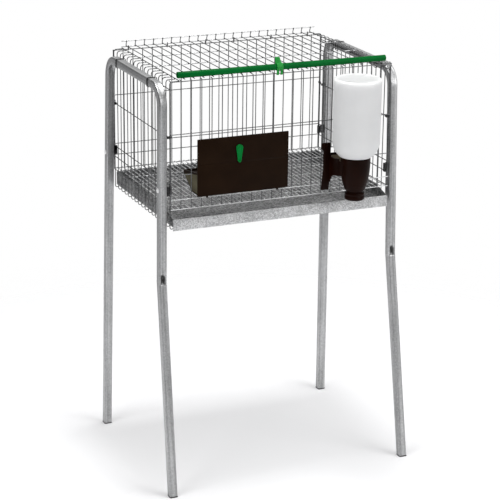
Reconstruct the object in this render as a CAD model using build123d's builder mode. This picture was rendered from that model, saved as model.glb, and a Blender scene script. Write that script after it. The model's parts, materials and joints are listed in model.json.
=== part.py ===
# Elevated small animal cage: two bent tube leg frames carry a wire cage with a
# hinged lid, a pull-out tray, a tilting feeder and a lift-off drinker.
# Millimetres, +Z up, the front towards -Y, the feet on Z = 0.
import os
from math import atan, atan2, cos, degrees, hypot, radians, sin, tan

from build123d import *

os.makedirs("parts", exist_ok=True)

# Stock and fits
wire = 2.2
weld = 0.2
step = wire - weld
play = 0.3
slot_fit = 0.1
tube = 20.0
tube_wall = 1.3
tube_corner = 3.5
sheet = 1.0

# Leg frames and their foot plugs
frame_height = 1000.0
frame_lean = 14.0
frame_gap = 0.9
bend_radius = 45.0
kink_height = 520.0
front_lean = 10.5
front_kick = 88.5
back_splay = 22.0
leg_inset = 17.0
plug_flange = 3.0
plug_depth = 18.0
plug_lip = 0.4

# Cage grid
pitch = 26.0
half_count = 11
cage_depth = 394.0
cage_height = 300.0
side_spaces = 16
corner_gap = 0.8
cage_bottom = frame_height - cage_height

# Heights of the cross wires
front_pivot = cage_bottom + 23.6
front_middle = cage_bottom + 83.5
front_upper = cage_bottom + 182.0
front_tail = 8.0
back_levels = (cage_bottom, cage_bottom + 36.0, cage_bottom + 64.5, cage_bottom + 190.0)
side_low = cage_bottom + 34.0
side_middle = cage_bottom + 61.5
side_high = cage_bottom + 172.5
side_tube = frame_height - tube / 2

# Floor grid: two wires to each space of the cage grid, on a few cross wires
floor_pitch = pitch / 2
floor_rows = 6
floor_row_inset = 30.0

# Lid, its rim and its hinge
lid_long_z = frame_height + 13.4
lid_cross_z = lid_long_z - step
lid_spaces = 21
lid_edge = 11.0
lid_rim_lap = 2.0
lid_rows = (151.0, 260.0)
lid_nose = 4.4
lip_rise = 13.6
lip_lean = 25.0
lip_wire_drop = 2.0
rim_wire_z = lid_cross_z - wire - play
rim_arm_z = rim_wire_z - step
rim_reach = 22.0
hinge_inset = 4.0
hinge_drop = 7.6
ring_wire = 1.6
ring_width = 2.0
ring_places = (-9.5, -5.5, -1.5, 1.5, 5.5, 9.5)

# Green bar and latch
bar_radius = 7.5
bar_inset = 17.0
bar_back = 1.0
bar_seat = 0.4
latch_width = 15.5
latch_skin = 2.2
latch_lever = 15.0
latch_lean = 27.0
lever_thick = 3.4
prong_gap = 0.8
nose_gap = 1.0
prong_split = 4.0

# Tray and the hooks it slides on
tray_drop = 50.0
hook_reach = 9.5
hook_height = 8.0
tray_wall = 19.7
tray_rear_wall = 34.0
tray_slope = 60.0
tray_side_gap = 1.4
tray_front_gap = 6.0
tray_back_gap = 6.0

# Clips
strip = 1.5
clip_fit = 0.15
corner_plate = (cage_bottom + 38.0, cage_bottom + 58.6)
corner_ring = (cage_bottom + 174.2, cage_bottom + 178.2)
leg_clip_grip = 1.8
leg_clip_width = 9.0
leg_clip_short = 3.0
leg_clip_long = 19.0
leg_clip_gap = 0.25
screw_level = cage_bottom + 47.75
screw_head = 6.0
screw_rise = 2.6
screw_dome = 2.2
screw_shank = 2.0
screw_length = 9.0
screw_fit = 0.1
tube_clip_fit = 0.35
tube_clip_width = 3.0
tube_clip_spaces = 3.5

# Feeder
feeder_cut = range(-8, 1)
feeder_low = 27.0
feeder_high = 166.0
feeder_skin = 4.5
feeder_wall = 2.5
feeder_end_inset = 1.0
feeder_crease = 104.0
crease_size = 1.2
trough_depth = 88.0
trough_foot = 36.0
trough_floor = 30.0
trough_rim = 64.0
trough_band = 12.0
feeder_opening_top = cage_bottom + 150.0
plate_gap = 0.4
lug_radius = 3.0
lug_width = 8.0
lug_spaces = 3.5

# Thumb grip on the feeder
grip_offset = -11.0
grip_from_top = 28.0
grip_length = 32.0
grip_wide = 8.2
grip_narrow = 3.6
grip_thick = 5.0
grip_rim = 2.4
grip_dish = 2.2
grip_peg = 3.0
grip_peg_fit = 0.2

# Drinker base and its foot cap
drinker_cut = range(5, 8)
drinker_offset = 7.0
drinker_opening_top = cage_bottom + 114.0
bowl_rim = cage_bottom + 103.0
bowl_radius = 33.0
bowl_foot = cage_bottom + 22.0
bowl_foot_radius = 23.5
bowl_shoulder = 38.0
bowl_taper = 0.6
bowl_bead = 2.5
bowl_bead_height = 3.0
bowl_wall = 2.5
spigot_radius = 19.5
spigot_wall = 4.0
cup_half = 32.0
cup_floor = cage_bottom + 41.0
cup_rim = cage_bottom + 96.0
cup_inside = 22.0
fin_thick = 4.0
fin_lap = 1.1
fin_low = cage_bottom + 9.0
fin_high = cage_bottom + 127.0
hook_side_gap = 6.0
hook_thick = 3.0
hook_roof = 6.0
hook_drop = 10.0
cap_low = cage_bottom - 7.0
cap_radius = 24.3
cap_height = 23.0
cap_floor = 4.0

# Drinker bottle
bottle_radius = 57.3
bottle_top = frame_height - 5.0
bottle_wall = 2.0
bottle_gap = 2.2
bottle_seat = 3.5
bottle_turn = 40.0
bottle_edge = 5.0
bottle_rim_width = 9.0
bottle_dish = 3.0
neck_radius = 18.0
neck_length = 50.0

# Derived: plan positions, with the outline's middle at Y = 0
cage_half = half_count * pitch
top_z = frame_height - tube / 2
leg_half = cage_depth / 2 - leg_inset
lean_angle = atan(frame_lean / top_z)
plug_half = tube / 2 + plug_lip
wire_ahead = step + wire / 2
lid_ahead = wire_ahead + lid_nose
drinker_ahead = cage_depth / 2 + lid_ahead + bottle_gap + bottle_radius
front_reach = drinker_ahead + bottle_radius
back_reach = leg_half + back_splay + plug_half
mid_y = (front_reach - back_reach) / 2
front_y = mid_y - cage_depth / 2
back_y = mid_y + cage_depth / 2
front_wire_y = front_y - step
back_wire_y = back_y - step
side_wire_x = cage_half + step
frame_half = side_wire_x + wire / 2 + frame_gap + tube / 2
side_inset = step + wire + corner_gap
side_pitch = (cage_depth - 2 * side_inset) / side_spaces
side_ys = [front_y + side_inset + i * side_pitch for i in range(side_spaces + 1)]
side_run = side_ys[-1] - side_ys[0] + wire
grid_xs = [n * pitch for n in range(-half_count, half_count + 1)]
cross_run = 2 * cage_half + wire
front_top_z = rim_arm_z + wire + slot_fit
front_latch_z = front_top_z - step
hinge_y = back_y - hinge_inset
hinge_z = lid_cross_z
back_top_z = hinge_z - hinge_drop
rim_x = cage_half - rim_reach
hook_z = cage_bottom - tray_drop + wire / 2
hook_top = hook_z - wire / 2 + hook_height
panel_back = front_wire_y - wire / 2 - plate_gap


def leg_x(z):
    """Distance of a leg frame's plane from the middle at height z."""
    return frame_half + frame_lean * (top_z - z) / top_z


def back_leg_y(z):
    """Centre line of the back leg at height z."""
    return mid_y + leg_half + back_splay * (top_z - z) / top_z


def front_leg_y(z):
    """Centre line of the front leg at height z, above or below its kink."""
    if z > kink_height:
        return mid_y - leg_half - front_lean * (top_z - z) / (top_z - kink_height)
    return mid_y - leg_half - front_lean - front_kick * (kink_height - z) / kink_height


def screw_seat(side, leg_y):
    """Plane on a leg's outer face, where a screw's head sits."""
    return Plane(
        origin=(side * (leg_x(screw_level) + tube / 2 / cos(lean_angle)), leg_y(screw_level), screw_level),
        x_dir=(0, 1, 0),
        z_dir=(side * cos(lean_angle), 0, sin(lean_angle)),
    )


def keep(builder, name):
    """Name a finished sub-part and write it out."""
    builder.part.label = name
    export_step(builder.part, f"parts/{name}.step")


# Leg frames: one square tube each, bent in a plane that leans outwards
below = -30.0
for side, name in ((-1, "left_leg_frame"), (1, "right_leg_frame")):
    frame_plane = Plane(
        origin=(side * frame_half, mid_y, top_z),
        x_dir=(0, 1, 0),
        z_dir=(cos(lean_angle), 0, side * sin(lean_angle)),
    )
    drop = 1 / cos(lean_angle)
    with BuildPart() as leg_frame:
        with BuildLine(frame_plane) as route:
            FilletPolyline(
                (back_leg_y(below) - mid_y, (below - top_z) * drop),
                (leg_half, 0),
                (-leg_half, 0),
                (front_leg_y(kink_height) - mid_y, (kink_height - top_z) * drop),
                (front_leg_y(below) - mid_y, (below - top_z) * drop),
                radius=bend_radius,
            )
        start = Plane(origin=route.line @ 0, x_dir=frame_plane.z_dir, z_dir=route.line % 0)
        with BuildSketch(start):
            RectangleRounded(tube, tube, tube_corner)
            bore = tube - 2 * tube_wall
            RectangleRounded(bore, bore, tube_corner - tube_wall, mode=Mode.SUBTRACT)
        sweep()
        split(bisect_by=Plane.XY.offset(plug_flange), keep=Keep.TOP)
        for leg_y in (front_leg_y, back_leg_y):
            with Locations(screw_seat(side, leg_y).location):
                Cylinder(screw_shank + screw_fit, tube / 2, mode=Mode.SUBTRACT)
    keep(leg_frame, name)

# Foot plugs: a flange on the floor and a stem up the leaning tube
stem = tube - 2 * tube_wall - 4 * play
rise_height = 100.0
for side, side_name in ((-1, "left"), (1, "right")):
    for leg_y, end_name in ((front_leg_y, "front"), (back_leg_y, "back")):
        rise = Vector(
            side * (leg_x(rise_height) - leg_x(0)),
            leg_y(rise_height) - leg_y(0),
            rise_height,
        )
        with BuildPart() as plug:
            with BuildSketch(Plane.XY):
                with Locations((side * leg_x(0), leg_y(0))):
                    RectangleRounded(2 * plug_half, 2 * plug_half, tube_corner)
            extrude(amount=plug_flange)
            with BuildSketch(Plane.XY.offset(plug_flange)):
                with Locations((side * leg_x(plug_flange), leg_y(plug_flange))):
                    RectangleRounded(stem, stem, tube_corner - tube_wall)
            extrude(amount=plug_depth, dir=rise.normalized())
        keep(plug, f"{end_name}_{side_name}_foot_plug")

# Side panels: upright wires, with cross wires outside, between the rim and the tray hooks
for side, name in ((-1, "left_side_panel"), (1, "right_side_panel")):
    low = hook_z + wire / 2
    high = rim_arm_z - wire / 2
    with BuildPart() as side_panel:
        with Locations([(side * cage_half, y, (low + high) / 2) for y in side_ys]):
            Box(wire, wire, high - low)
        levels = (cage_bottom, side_low, side_middle, side_high, side_tube)
        with Locations([(side * side_wire_x, mid_y, z) for z in levels]):
            Box(wire, side_run, wire)
    keep(side_panel, name)

# Side rims: the upright wires' tops, bent inwards under one long wire that the lid lies on
for side, name in ((-1, "left_rim"), (1, "right_rim")):
    with BuildPart() as rim:
        with Locations([(side * (cage_half - rim_reach / 2), y, rim_arm_z) for y in side_ys]):
            Box(rim_reach + wire, wire, wire)
        with Locations((side * rim_x, mid_y, rim_wire_z)):
            Box(wire, side_run, wire)
    keep(rim, name)

# Tray hooks: the upright wires' lower ends, bent inwards and up under the tray
for side, name in ((-1, "left_tray_hooks"), (1, "right_tray_hooks")):
    low = hook_z - wire / 2
    with BuildPart() as tray_hooks:
        with Locations([(side * (cage_half - hook_reach / 2), y, hook_z) for y in side_ys]):
            Box(hook_reach + wire, wire, wire)
        tip_x = side * (cage_half - hook_reach)
        with Locations([(tip_x, y, (low + hook_top) / 2) for y in side_ys]):
            Box(wire, wire, hook_top - low)
    keep(tray_hooks, name)

# Back panel: upright wires, cross wires inside, a round wire on top for the hinge rings
with BuildPart() as back_panel:
    low = cage_bottom - wire / 2
    with Locations([(x, back_y, (low + back_top_z) / 2) for x in grid_xs]):
        Box(wire, wire, back_top_z - low)
    with Locations([(0, back_wire_y, z) for z in back_levels]):
        Box(cross_run, wire, wire)
    with Locations((0, back_wire_y, back_top_z)):
        Cylinder(wire / 2, cross_run, rotation=(0, 90, 0))
keep(back_panel, "back_panel")

# Front panel: upright wires bent back at the top, cut where feeder and drinker cup pass
with BuildPart() as front_panel:
    low = cage_bottom - wire / 2
    high = front_top_z + wire / 2
    full = list(range(-half_count, half_count + 1))
    cut = [n for n in full if n in feeder_cut or n in drinker_cut]
    whole = [n for n in full if n not in cut]
    with Locations([(n * pitch, front_y, (low + high) / 2) for n in whole]):
        Box(wire, wire, high - low)
    stub_top = front_pivot + wire / 2
    with Locations([(n * pitch, front_y, (low + stub_top) / 2) for n in cut]):
        Box(wire, wire, stub_top - low)
    for group, edge in ((feeder_cut, feeder_opening_top), (drinker_cut, drinker_opening_top)):
        above = edge - wire / 2
        with Locations([(n * pitch, front_y, (above + high) / 2) for n in group]):
            Box(wire, wire, high - above)
        first = (group[0] - 1) * pitch
        last = (group[-1] + 1) * pitch
        with Locations(((first + last) / 2, front_wire_y, edge)):
            Box(last - first + wire, wire, wire)
    with Locations([(n * pitch, front_y + front_tail / 2, front_top_z) for n in full]):
        Box(wire, front_tail + wire, wire)
    with Locations([(0, front_wire_y, z) for z in (cage_bottom, front_upper, front_latch_z)]):
        Box(cross_run, wire, wire)
    spans = (
        (-half_count, feeder_cut[0] - 1),
        (feeder_cut[-1] + 1, drinker_cut[0] - 1),
        (drinker_cut[-1] + 1, half_count),
    )
    for first, last in spans:
        with Locations(((first + last) / 2 * pitch, front_wire_y, front_middle)):
            Box((last - first) * pitch + wire, wire, wire)
    with Locations((0, front_wire_y, front_pivot)):
        Cylinder(wire / 2, cross_run, rotation=(0, 90, 0))
keep(front_panel, "front_panel")

# Floor grid: close wires front to back, lying on the bottom cross wires of front and back
floor_z = cage_bottom + wire
floor_xs = [(n + 0.5) * floor_pitch for n in range(-2 * half_count, 2 * half_count)]
floor_front = front_wire_y - wire / 2
floor_back = back_y - wire
with BuildPart() as floor_grid:
    with Locations([(x, (floor_front + floor_back) / 2, floor_z) for x in floor_xs]):
        Box(wire, floor_back - floor_front, wire)
    row_step = (cage_depth - 2 * floor_row_inset) / (floor_rows - 1)
    row_ys = [front_y + floor_row_inset + i * row_step for i in range(floor_rows)]
    with Locations([(0, y, floor_z - step) for y in row_ys]):
        Box(floor_xs[-1] - floor_xs[0] + 2 * wire, wire, wire)
keep(floor_grid, "floor_grid")

# Corner clips: bent strip round the last upright of a side panel and its neighbour
with BuildPart() as corner_clips:
    for side in (-1, 1):
        for y_side, y_end in ((side_ys[0], front_y), (side_ys[-1], back_y)):
            span = abs(y_end - y_side) + wire + 2 * clip_fit
            width = wire + 2 * clip_fit
            for low, high in (corner_plate, corner_ring):
                with BuildSketch(Plane.XY.offset(low)):
                    with Locations((side * cage_half, (y_side + y_end) / 2)):
                        Rectangle(width + 2 * strip, span + 2 * strip)
                        Rectangle(width, span, mode=Mode.SUBTRACT)
                extrude(amount=high - low)
keep(corner_clips, "corner_clips")

# Leg clips: blocks with a slot for a side panel's cross wire, set against the leg; below, the
# front ones reach up from the low wire and the back ones down from the middle wire
front_clip_y = side_ys[0] + side_pitch / 2
back_clip_y = side_ys[-1] - side_pitch / 2
lower_blocks = (
    (front_clip_y, side_low, side_low - leg_clip_short, side_low + leg_clip_long),
    (back_clip_y, side_middle, side_middle - leg_clip_long, side_middle + leg_clip_short),
)
upper_blocks = (
    (front_clip_y, side_high, side_high - leg_clip_short, side_high + leg_clip_short),
    (back_clip_y, side_high, side_high - leg_clip_short, side_high + leg_clip_short),
)
for blocks, name in ((lower_blocks, "lower_leg_clips"), (upper_blocks, "upper_leg_clips")):
    inner = side_wire_x - wire / 2
    with BuildPart() as leg_clips:
        for side in (-1, 1):
            for y, level, low, high in blocks:
                outer = leg_x(high) - tube / 2 - leg_clip_gap
                with Locations((side * (inner - leg_clip_grip + outer) / 2, y, (low + high) / 2)):
                    Box(outer - inner + leg_clip_grip, leg_clip_width, high - low)
                with Locations((side * (inner - clip_fit + outer) / 2, y, level)):
                    slot_depth = outer - inner + clip_fit
                    Box(slot_depth, leg_clip_width, wire + 2 * clip_fit, mode=Mode.SUBTRACT)
    keep(leg_clips, name)

# Leg screws: domed heads on the legs' outer faces, their shanks in the tube
with BuildPart() as leg_screws:
    for side in (-1, 1):
        for leg_y in (front_leg_y, back_leg_y):
            seat = screw_seat(side, leg_y).offset(screw_fit)
            with BuildSketch(seat):
                Circle(screw_head)
            extrude(amount=screw_rise)
            with BuildSketch(seat):
                Circle(screw_shank)
            extrude(amount=-screw_length)
    rims = leg_screws.edges().filter_by(GeomType.CIRCLE).group_by(SortBy.RADIUS)[-1]
    head_middle = leg_x(screw_level) + tube / 2 + screw_rise / 2
    fillet([edge for edge in rims if abs(edge.center().X) > head_middle], radius=screw_dome)
keep(leg_screws, "leg_screws")

# Tube clips: strip loops round the top tube and the cross wire beside it
loop_in = side_wire_x - wire / 2 - clip_fit
loop_out = frame_half + tube / 2 + tube_clip_fit
loop_width = loop_out - loop_in
loop_height = tube + 2 * tube_clip_fit
with BuildPart() as tube_clips:
    for side in (-1, 1):
        inset = tube_clip_spaces * side_pitch
        for y in (side_ys[0] + inset, side_ys[-1] - inset):
            with Locations((side * (loop_in + loop_out) / 2, y, top_z)):
                Box(loop_width + 2 * strip, tube_clip_width, loop_height + 2 * strip)
                Box(loop_width, tube_clip_width, loop_height, mode=Mode.SUBTRACT)
keep(tube_clips, "tube_clips")

# Hinge rings: oval links round the back panel's top wire and the lid's rear wire
link_dy = hinge_y - back_wire_y
link_dz = hinge_z - back_top_z
link = hypot(link_dy, link_dz)
link_turn = degrees(atan2(link_dz, link_dy))
ring_hole = wire + 2 * play
with BuildPart() as hinge_rings:
    for place in ring_places:
        with BuildSketch(Plane.YZ.offset(place * pitch - ring_width / 2)):
            with Locations(((hinge_y + back_wire_y) / 2, (hinge_z + back_top_z) / 2)):
                SlotCenterToCenter(link, ring_hole + 2 * ring_wire, rotation=link_turn)
                SlotCenterToCenter(link, ring_hole, rotation=link_turn, mode=Mode.SUBTRACT)
        extrude(amount=ring_width)
keep(hinge_rings, "hinge_rings")

# Lid grid: long wires with a bent-up rear lip, cross wires below them and one on top in front
lid_pitch = 2 * (rim_x - lid_edge) / lid_spaces
lid_xs = [(n - lid_spaces / 2) * lid_pitch for n in range(lid_spaces + 1)]
lid_half = rim_x + lid_rim_lap
lid_front = front_y - lid_ahead
lip_foot = hinge_y + step + 2 * slot_fit
lip_slope = radians(lip_lean)
bar_y = front_y + bar_back
bar_z = lid_long_z + wire / 2 + bar_seat + bar_radius
with BuildPart() as lid_grid:
    lid_back = lip_foot + wire / 2
    with Locations([(x, (lid_front + lid_back) / 2, lid_long_z) for x in lid_xs]):
        Box(wire, lid_back - lid_front, wire)
    lip_y = lip_foot - lip_rise / 2 * tan(lip_slope)
    with Locations([(x, lip_y, lid_long_z + lip_rise / 2) for x in lid_xs]):
        Box(wire, wire, lip_rise / cos(lip_slope), rotation=(lip_lean, 0, 0))
    with Locations([(0, front_y + row, lid_cross_z) for row in lid_rows]):
        Box(2 * lid_half, wire, wire)
    with Locations((0, hinge_y, hinge_z)):
        Cylinder(wire / 2, 2 * lid_half, rotation=(0, 90, 0))
    with Locations((0, bar_y, lid_long_z + step)):
        Box(2 * lid_half, wire, wire)
    lip_wire_rise = lip_rise - lip_wire_drop
    tip_y = lip_foot - lip_wire_rise * tan(lip_slope) + step * cos(lip_slope)
    tip_z = lid_long_z + lip_wire_rise + step * sin(lip_slope)
    with Locations((0, tip_y, tip_z)):
        Box(2 * lid_half, wire, wire, rotation=(lip_lean, 0, 0))
keep(lid_grid, "lid_grid")

# Lid bar: round bar pressed on the lid's front wire from above
bar_half = cage_half - bar_inset
with BuildPart() as lid_bar:
    with Locations((0, bar_y, bar_z)):
        Cylinder(bar_radius, 2 * bar_half, rotation=(0, 90, 0))
    slot_top = lid_long_z + step + wire / 2 + slot_fit
    slot_low = bar_z - bar_radius - wire
    with Locations((0, bar_y, (slot_top + slot_low) / 2)):
        Box(2 * bar_half, wire + 2 * slot_fit, slot_top - slot_low, mode=Mode.SUBTRACT)
keep(lid_bar, "lid_bar")

# Lid latch: a clip that turns on the bar, with a lever above and two hooked prongs that
# straddle one of the lid's long wires
latch_x = -lid_pitch / 2
latch_in = bar_radius + play
latch_out = latch_in + latch_skin
prong_in = front_wire_y - wire / 2 - prong_gap - bar_y
prong_out = prong_in - latch_skin
nose_top = front_latch_z - wire / 2 - nose_gap - bar_z
nose_low = nose_top - latch_skin
mouth = 2 * latch_out
mouth_turn = 5.0
latch_plane = Plane(origin=(latch_x - latch_width / 2, bar_y, bar_z), x_dir=(0, 1, 0), z_dir=(1, 0, 0))
with BuildPart() as lid_latch:
    with BuildSketch(latch_plane):
        Circle(latch_out)
        with Locations(Location((0, 0, 0), (0, 0, 90 - latch_lean))):
            with Locations((latch_in + latch_lever / 2, 0)):
                Rectangle(latch_lever, lever_thick)
            with Locations((latch_in + latch_lever, 0)):
                Circle(lever_thick / 2)
        with BuildLine():
            Polyline(
                (prong_out, 0),
                (prong_in, 0),
                (prong_in, nose_top),
                (prong_in + latch_skin, nose_top),
                (prong_in + latch_skin, nose_low),
                (prong_out, nose_low),
                close=True,
            )
        make_face()
        Circle(latch_in, mode=Mode.SUBTRACT)
        with BuildLine():
            Polyline(
                (0, 0),
                (mouth, -mouth * tan(radians(mouth_turn))),
                (mouth, -mouth),
                (prong_in + nose_gap, -latch_out - nose_gap),
                close=True,
            )
        make_face(mode=Mode.SUBTRACT)
    extrude(amount=latch_width)
    split_top = lid_long_z + wire / 2 + nose_gap / 2
    split_low = bar_z + nose_low - nose_gap
    with Locations((latch_x, bar_y + prong_in, (split_top + split_low) / 2)):
        Box(prong_split, 2 * latch_in, split_top - split_low, mode=Mode.SUBTRACT)
keep(lid_latch, "lid_latch")

# Tray: folded sheet drawer, lower in front, whose front lip hides the ends of the hooks
tray_half = cage_half - wire / 2 - tray_side_gap
tray_low = hook_top + play
tray_high = tray_low + tray_wall
tray_rear_high = tray_low + tray_rear_wall
tray_front = front_wire_y - wire / 2 - tray_front_gap
tray_back = back_y - tray_back_gap
tray_length = tray_back - tray_front
with BuildPart() as tray:
    with Locations((0, (tray_front + tray_back) / 2, tray_low + tray_rear_wall / 2)):
        Box(2 * tray_half, tray_length, tray_rear_wall)
    with Locations((0, (tray_front + tray_back) / 2, tray_low + tray_rear_wall / 2 + sheet)):
        Box(2 * (tray_half - sheet), tray_length - 2 * sheet, tray_rear_wall, mode=Mode.SUBTRACT)
    with BuildSketch(Plane.YZ.offset(-tray_half - sheet)):
        with BuildLine():
            Polyline(
                (tray_front - sheet, tray_high),
                (tray_front + sheet, tray_high),
                (tray_front + tray_slope, tray_rear_high),
                (tray_front + tray_slope, tray_rear_high + sheet),
                (tray_front - sheet, tray_rear_high + sheet),
                close=True,
            )
        make_face()
    extrude(amount=2 * (tray_half + sheet), mode=Mode.SUBTRACT)
    lip_low = hook_z - wire / 2
    with Locations((0, tray_front - sheet / 2, (lip_low + tray_high) / 2)):
        Box(2 * tray_half, sheet, tray_high - lip_low)
keep(tray, "tray")

# Feeder: front plate and trough in one moulding, hung by lugs on the pivot wire
feeder_left = (feeder_cut[0] - 0.5) * pitch
feeder_right = (feeder_cut[-1] + 0.5) * pitch
feeder_x = (feeder_left + feeder_right) / 2
plate_width = feeder_right - feeder_left
plate_back = panel_back
plate_front = plate_back - feeder_skin
plate_low = cage_bottom + feeder_low
plate_high = cage_bottom + feeder_high
floor_level = cage_bottom + trough_floor
rim_level = cage_bottom + trough_rim
band_level = rim_level + trough_band
grip_x = feeder_x + grip_offset
grip_high = plate_high - grip_from_top
grip_low = grip_high - grip_length
lug_xs = (feeder_x - lug_spaces * pitch, feeder_x + lug_spaces * pitch)
rear_run = (trough_depth - trough_foot) / (trough_rim - trough_floor)
rear_skin = feeder_wall * hypot(1, rear_run)
trough_end = feeder_left + feeder_end_inset
trough_length = plate_width - 2 * feeder_end_inset
with BuildPart() as feeder:
    with Locations((feeder_x, (plate_front + plate_back) / 2, (plate_low + plate_high) / 2)):
        Box(plate_width, feeder_skin, plate_high - plate_low)
    with BuildSketch(Plane.YZ.offset(trough_end)):
        with BuildLine():
            Polyline(
                (plate_front, floor_level),
                (plate_back + trough_foot, floor_level),
                (plate_back + trough_depth, rim_level),
                (plate_back + trough_depth, band_level),
                (plate_front, band_level),
                close=True,
            )
        make_face()
    extrude(amount=trough_length)
    inner_foot = plate_back + trough_foot + feeder_wall * rear_run - rear_skin
    inner_rim = plate_back + trough_depth - feeder_wall
    inner_bend = floor_level + feeder_wall + (inner_rim - inner_foot) / rear_run
    with BuildSketch(Plane.YZ.offset(trough_end + feeder_wall)):
        with BuildLine():
            Polyline(
                (plate_back, floor_level + feeder_wall),
                (inner_foot, floor_level + feeder_wall),
                (inner_rim, inner_bend),
                (inner_rim, band_level + feeder_wall),
                (plate_back, band_level + feeder_wall),
                close=True,
            )
        make_face()
    extrude(amount=trough_length - 2 * feeder_wall, mode=Mode.SUBTRACT)
    for x in lug_xs:
        lug_top = floor_level + feeder_wall / 2
        with BuildSketch(Plane.YZ.offset(x - lug_width / 2)):
            with Locations((front_wire_y, front_pivot)):
                Circle(lug_radius)
            with Locations((front_wire_y, (front_pivot + lug_top) / 2)):
                Rectangle(2 * lug_radius - 2 * plate_gap, lug_top - front_pivot)
        extrude(amount=lug_width)
        with BuildSketch(Plane.YZ.offset(x - lug_width / 2)):
            with Locations((front_wire_y, front_pivot)):
                Circle(wire / 2 + play)
            with Locations((front_wire_y, front_pivot - lug_radius)):
                Rectangle(wire - weld, 2 * lug_radius)
        extrude(amount=lug_width, mode=Mode.SUBTRACT)
    with Locations((feeder_x, plate_front, cage_bottom + feeder_crease)):
        Box(plate_width, crease_size, crease_size, mode=Mode.SUBTRACT)
    with Locations((grip_x, (plate_front + plate_back) / 2, grip_high)):
        Cylinder(grip_peg + grip_peg_fit, 2 * feeder_skin, rotation=(90, 0, 0), mode=Mode.SUBTRACT)
keep(feeder, "feeder")

# Feeder grip: a dished tapered thumb grip with a peg through the plate
grip_plane = Plane(origin=(0, plate_front, 0), x_dir=(1, 0, 0), z_dir=(0, -1, 0))
with BuildPart() as feeder_grip:
    with BuildSketch(grip_plane):
        with Locations((grip_x, grip_high)):
            Circle(grip_wide)
        with Locations((grip_x, grip_low)):
            Circle(grip_narrow)
        make_hull()
    extrude(amount=grip_thick)
    with BuildSketch(grip_plane.offset(grip_thick - grip_dish)):
        with Locations((grip_x, grip_high)):
            Circle(grip_wide - grip_rim)
        with Locations((grip_x, grip_low)):
            Circle(grip_narrow - grip_rim)
        make_hull()
    extrude(amount=grip_thick, mode=Mode.SUBTRACT)
    with BuildSketch(grip_plane):
        with Locations((grip_x, grip_high)):
            Circle(grip_peg)
    extrude(amount=grip_peg_fit - feeder_skin)
keep(feeder_grip, "feeder_grip")

# Drinker base: bowl for the bottle, drinking cup through the front panel, hanging fin
cup_x = (drinker_cut[0] + drinker_cut[-1]) / 2 * pitch
drinker_x = cup_x + drinker_offset
drinker_y = mid_y - drinker_ahead
axis_plane = Plane(origin=(drinker_x, drinker_y, 0), x_dir=(1, 0, 0), z_dir=(0, -1, 0))
spin = Axis((drinker_x, drinker_y, 0), (0, 0, 1))
cup_back = front_y + cup_inside
cup_length = cup_back - drinker_y
spigot_low = cap_low + cap_floor + play
shoulder = bowl_foot + bowl_shoulder
shoulder_radius = bowl_radius - bowl_taper
fin_left = (drinker_cut[0] - 1) * pitch + wire / 2
fin_width = cup_x - cup_half + fin_lap - fin_left
fin_back = panel_back
hook_x = (drinker_cut[0] - 0.5) * pitch
hook_width = pitch - 2 * hook_side_gap
with BuildPart() as drinker_base:
    with BuildSketch(axis_plane):
        with BuildLine():
            Polyline(
                (0, spigot_low),
                (spigot_radius, spigot_low),
                (spigot_radius, bowl_foot),
                (bowl_foot_radius, bowl_foot),
                (shoulder_radius, shoulder),
                (bowl_radius, bowl_rim - bowl_bead_height - bowl_bead / 2),
                (bowl_radius + bowl_bead, bowl_rim - bowl_bead_height),
                (bowl_radius + bowl_bead, bowl_rim),
                (0, bowl_rim),
                close=True,
            )
        make_face()
    revolve(axis=spin)
    with Locations((cup_x, (drinker_y + cup_back) / 2, (cup_floor + cup_rim) / 2)):
        Box(2 * cup_half, cup_length, cup_rim - cup_floor)
    with Locations((cup_x, (drinker_y + cup_back) / 2, (cup_floor + cup_rim) / 2 + bowl_wall)):
        inner_cup = 2 * (cup_half - bowl_wall)
        Box(inner_cup, cup_length - 2 * bowl_wall, cup_rim - cup_floor, mode=Mode.SUBTRACT)
    with BuildSketch(axis_plane):
        with BuildLine():
            Polyline(
                (0, spigot_low - play),
                (spigot_radius - spigot_wall, spigot_low - play),
                (spigot_radius - spigot_wall, bowl_foot + bowl_wall),
                (bowl_foot_radius - bowl_wall, bowl_foot + bowl_wall),
                (shoulder_radius - bowl_wall, shoulder),
                (bowl_radius - bowl_wall, bowl_rim + play),
                (0, bowl_rim + play),
                close=True,
            )
        make_face()
    revolve(axis=spin, mode=Mode.SUBTRACT)
    with Locations((fin_left + fin_width / 2, fin_back - fin_thick / 2, (fin_low + fin_high) / 2)):
        Box(fin_width, fin_thick, fin_high - fin_low)
    tail_front = front_wire_y + wire / 2 + play
    tail_back = tail_front + hook_thick
    for level in (front_pivot, drinker_opening_top):
        roof = level + wire / 2 + play
        with Locations((hook_x, (fin_back + tail_back) / 2, roof + hook_roof / 2)):
            Box(hook_width, tail_back - fin_back, hook_roof)
        with Locations((hook_x, (tail_front + tail_back) / 2, roof + (hook_roof - hook_drop) / 2)):
            Box(hook_width, hook_thick, hook_roof + hook_drop)
keep(drinker_base, "drinker_base")

# Drinker foot cap: closes the spigot under the bowl
with BuildPart() as drinker_cap:
    with BuildSketch(Plane.XY.offset(cap_low)):
        with Locations((drinker_x, drinker_y)):
            Circle(cap_radius)
    extrude(amount=cap_height)
    with BuildSketch(Plane.XY.offset(cap_low + cap_floor)):
        with Locations((drinker_x, drinker_y)):
            Circle(spigot_radius + play)
    extrude(amount=cap_height, mode=Mode.SUBTRACT)
keep(drinker_cap, "drinker_cap")

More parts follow.
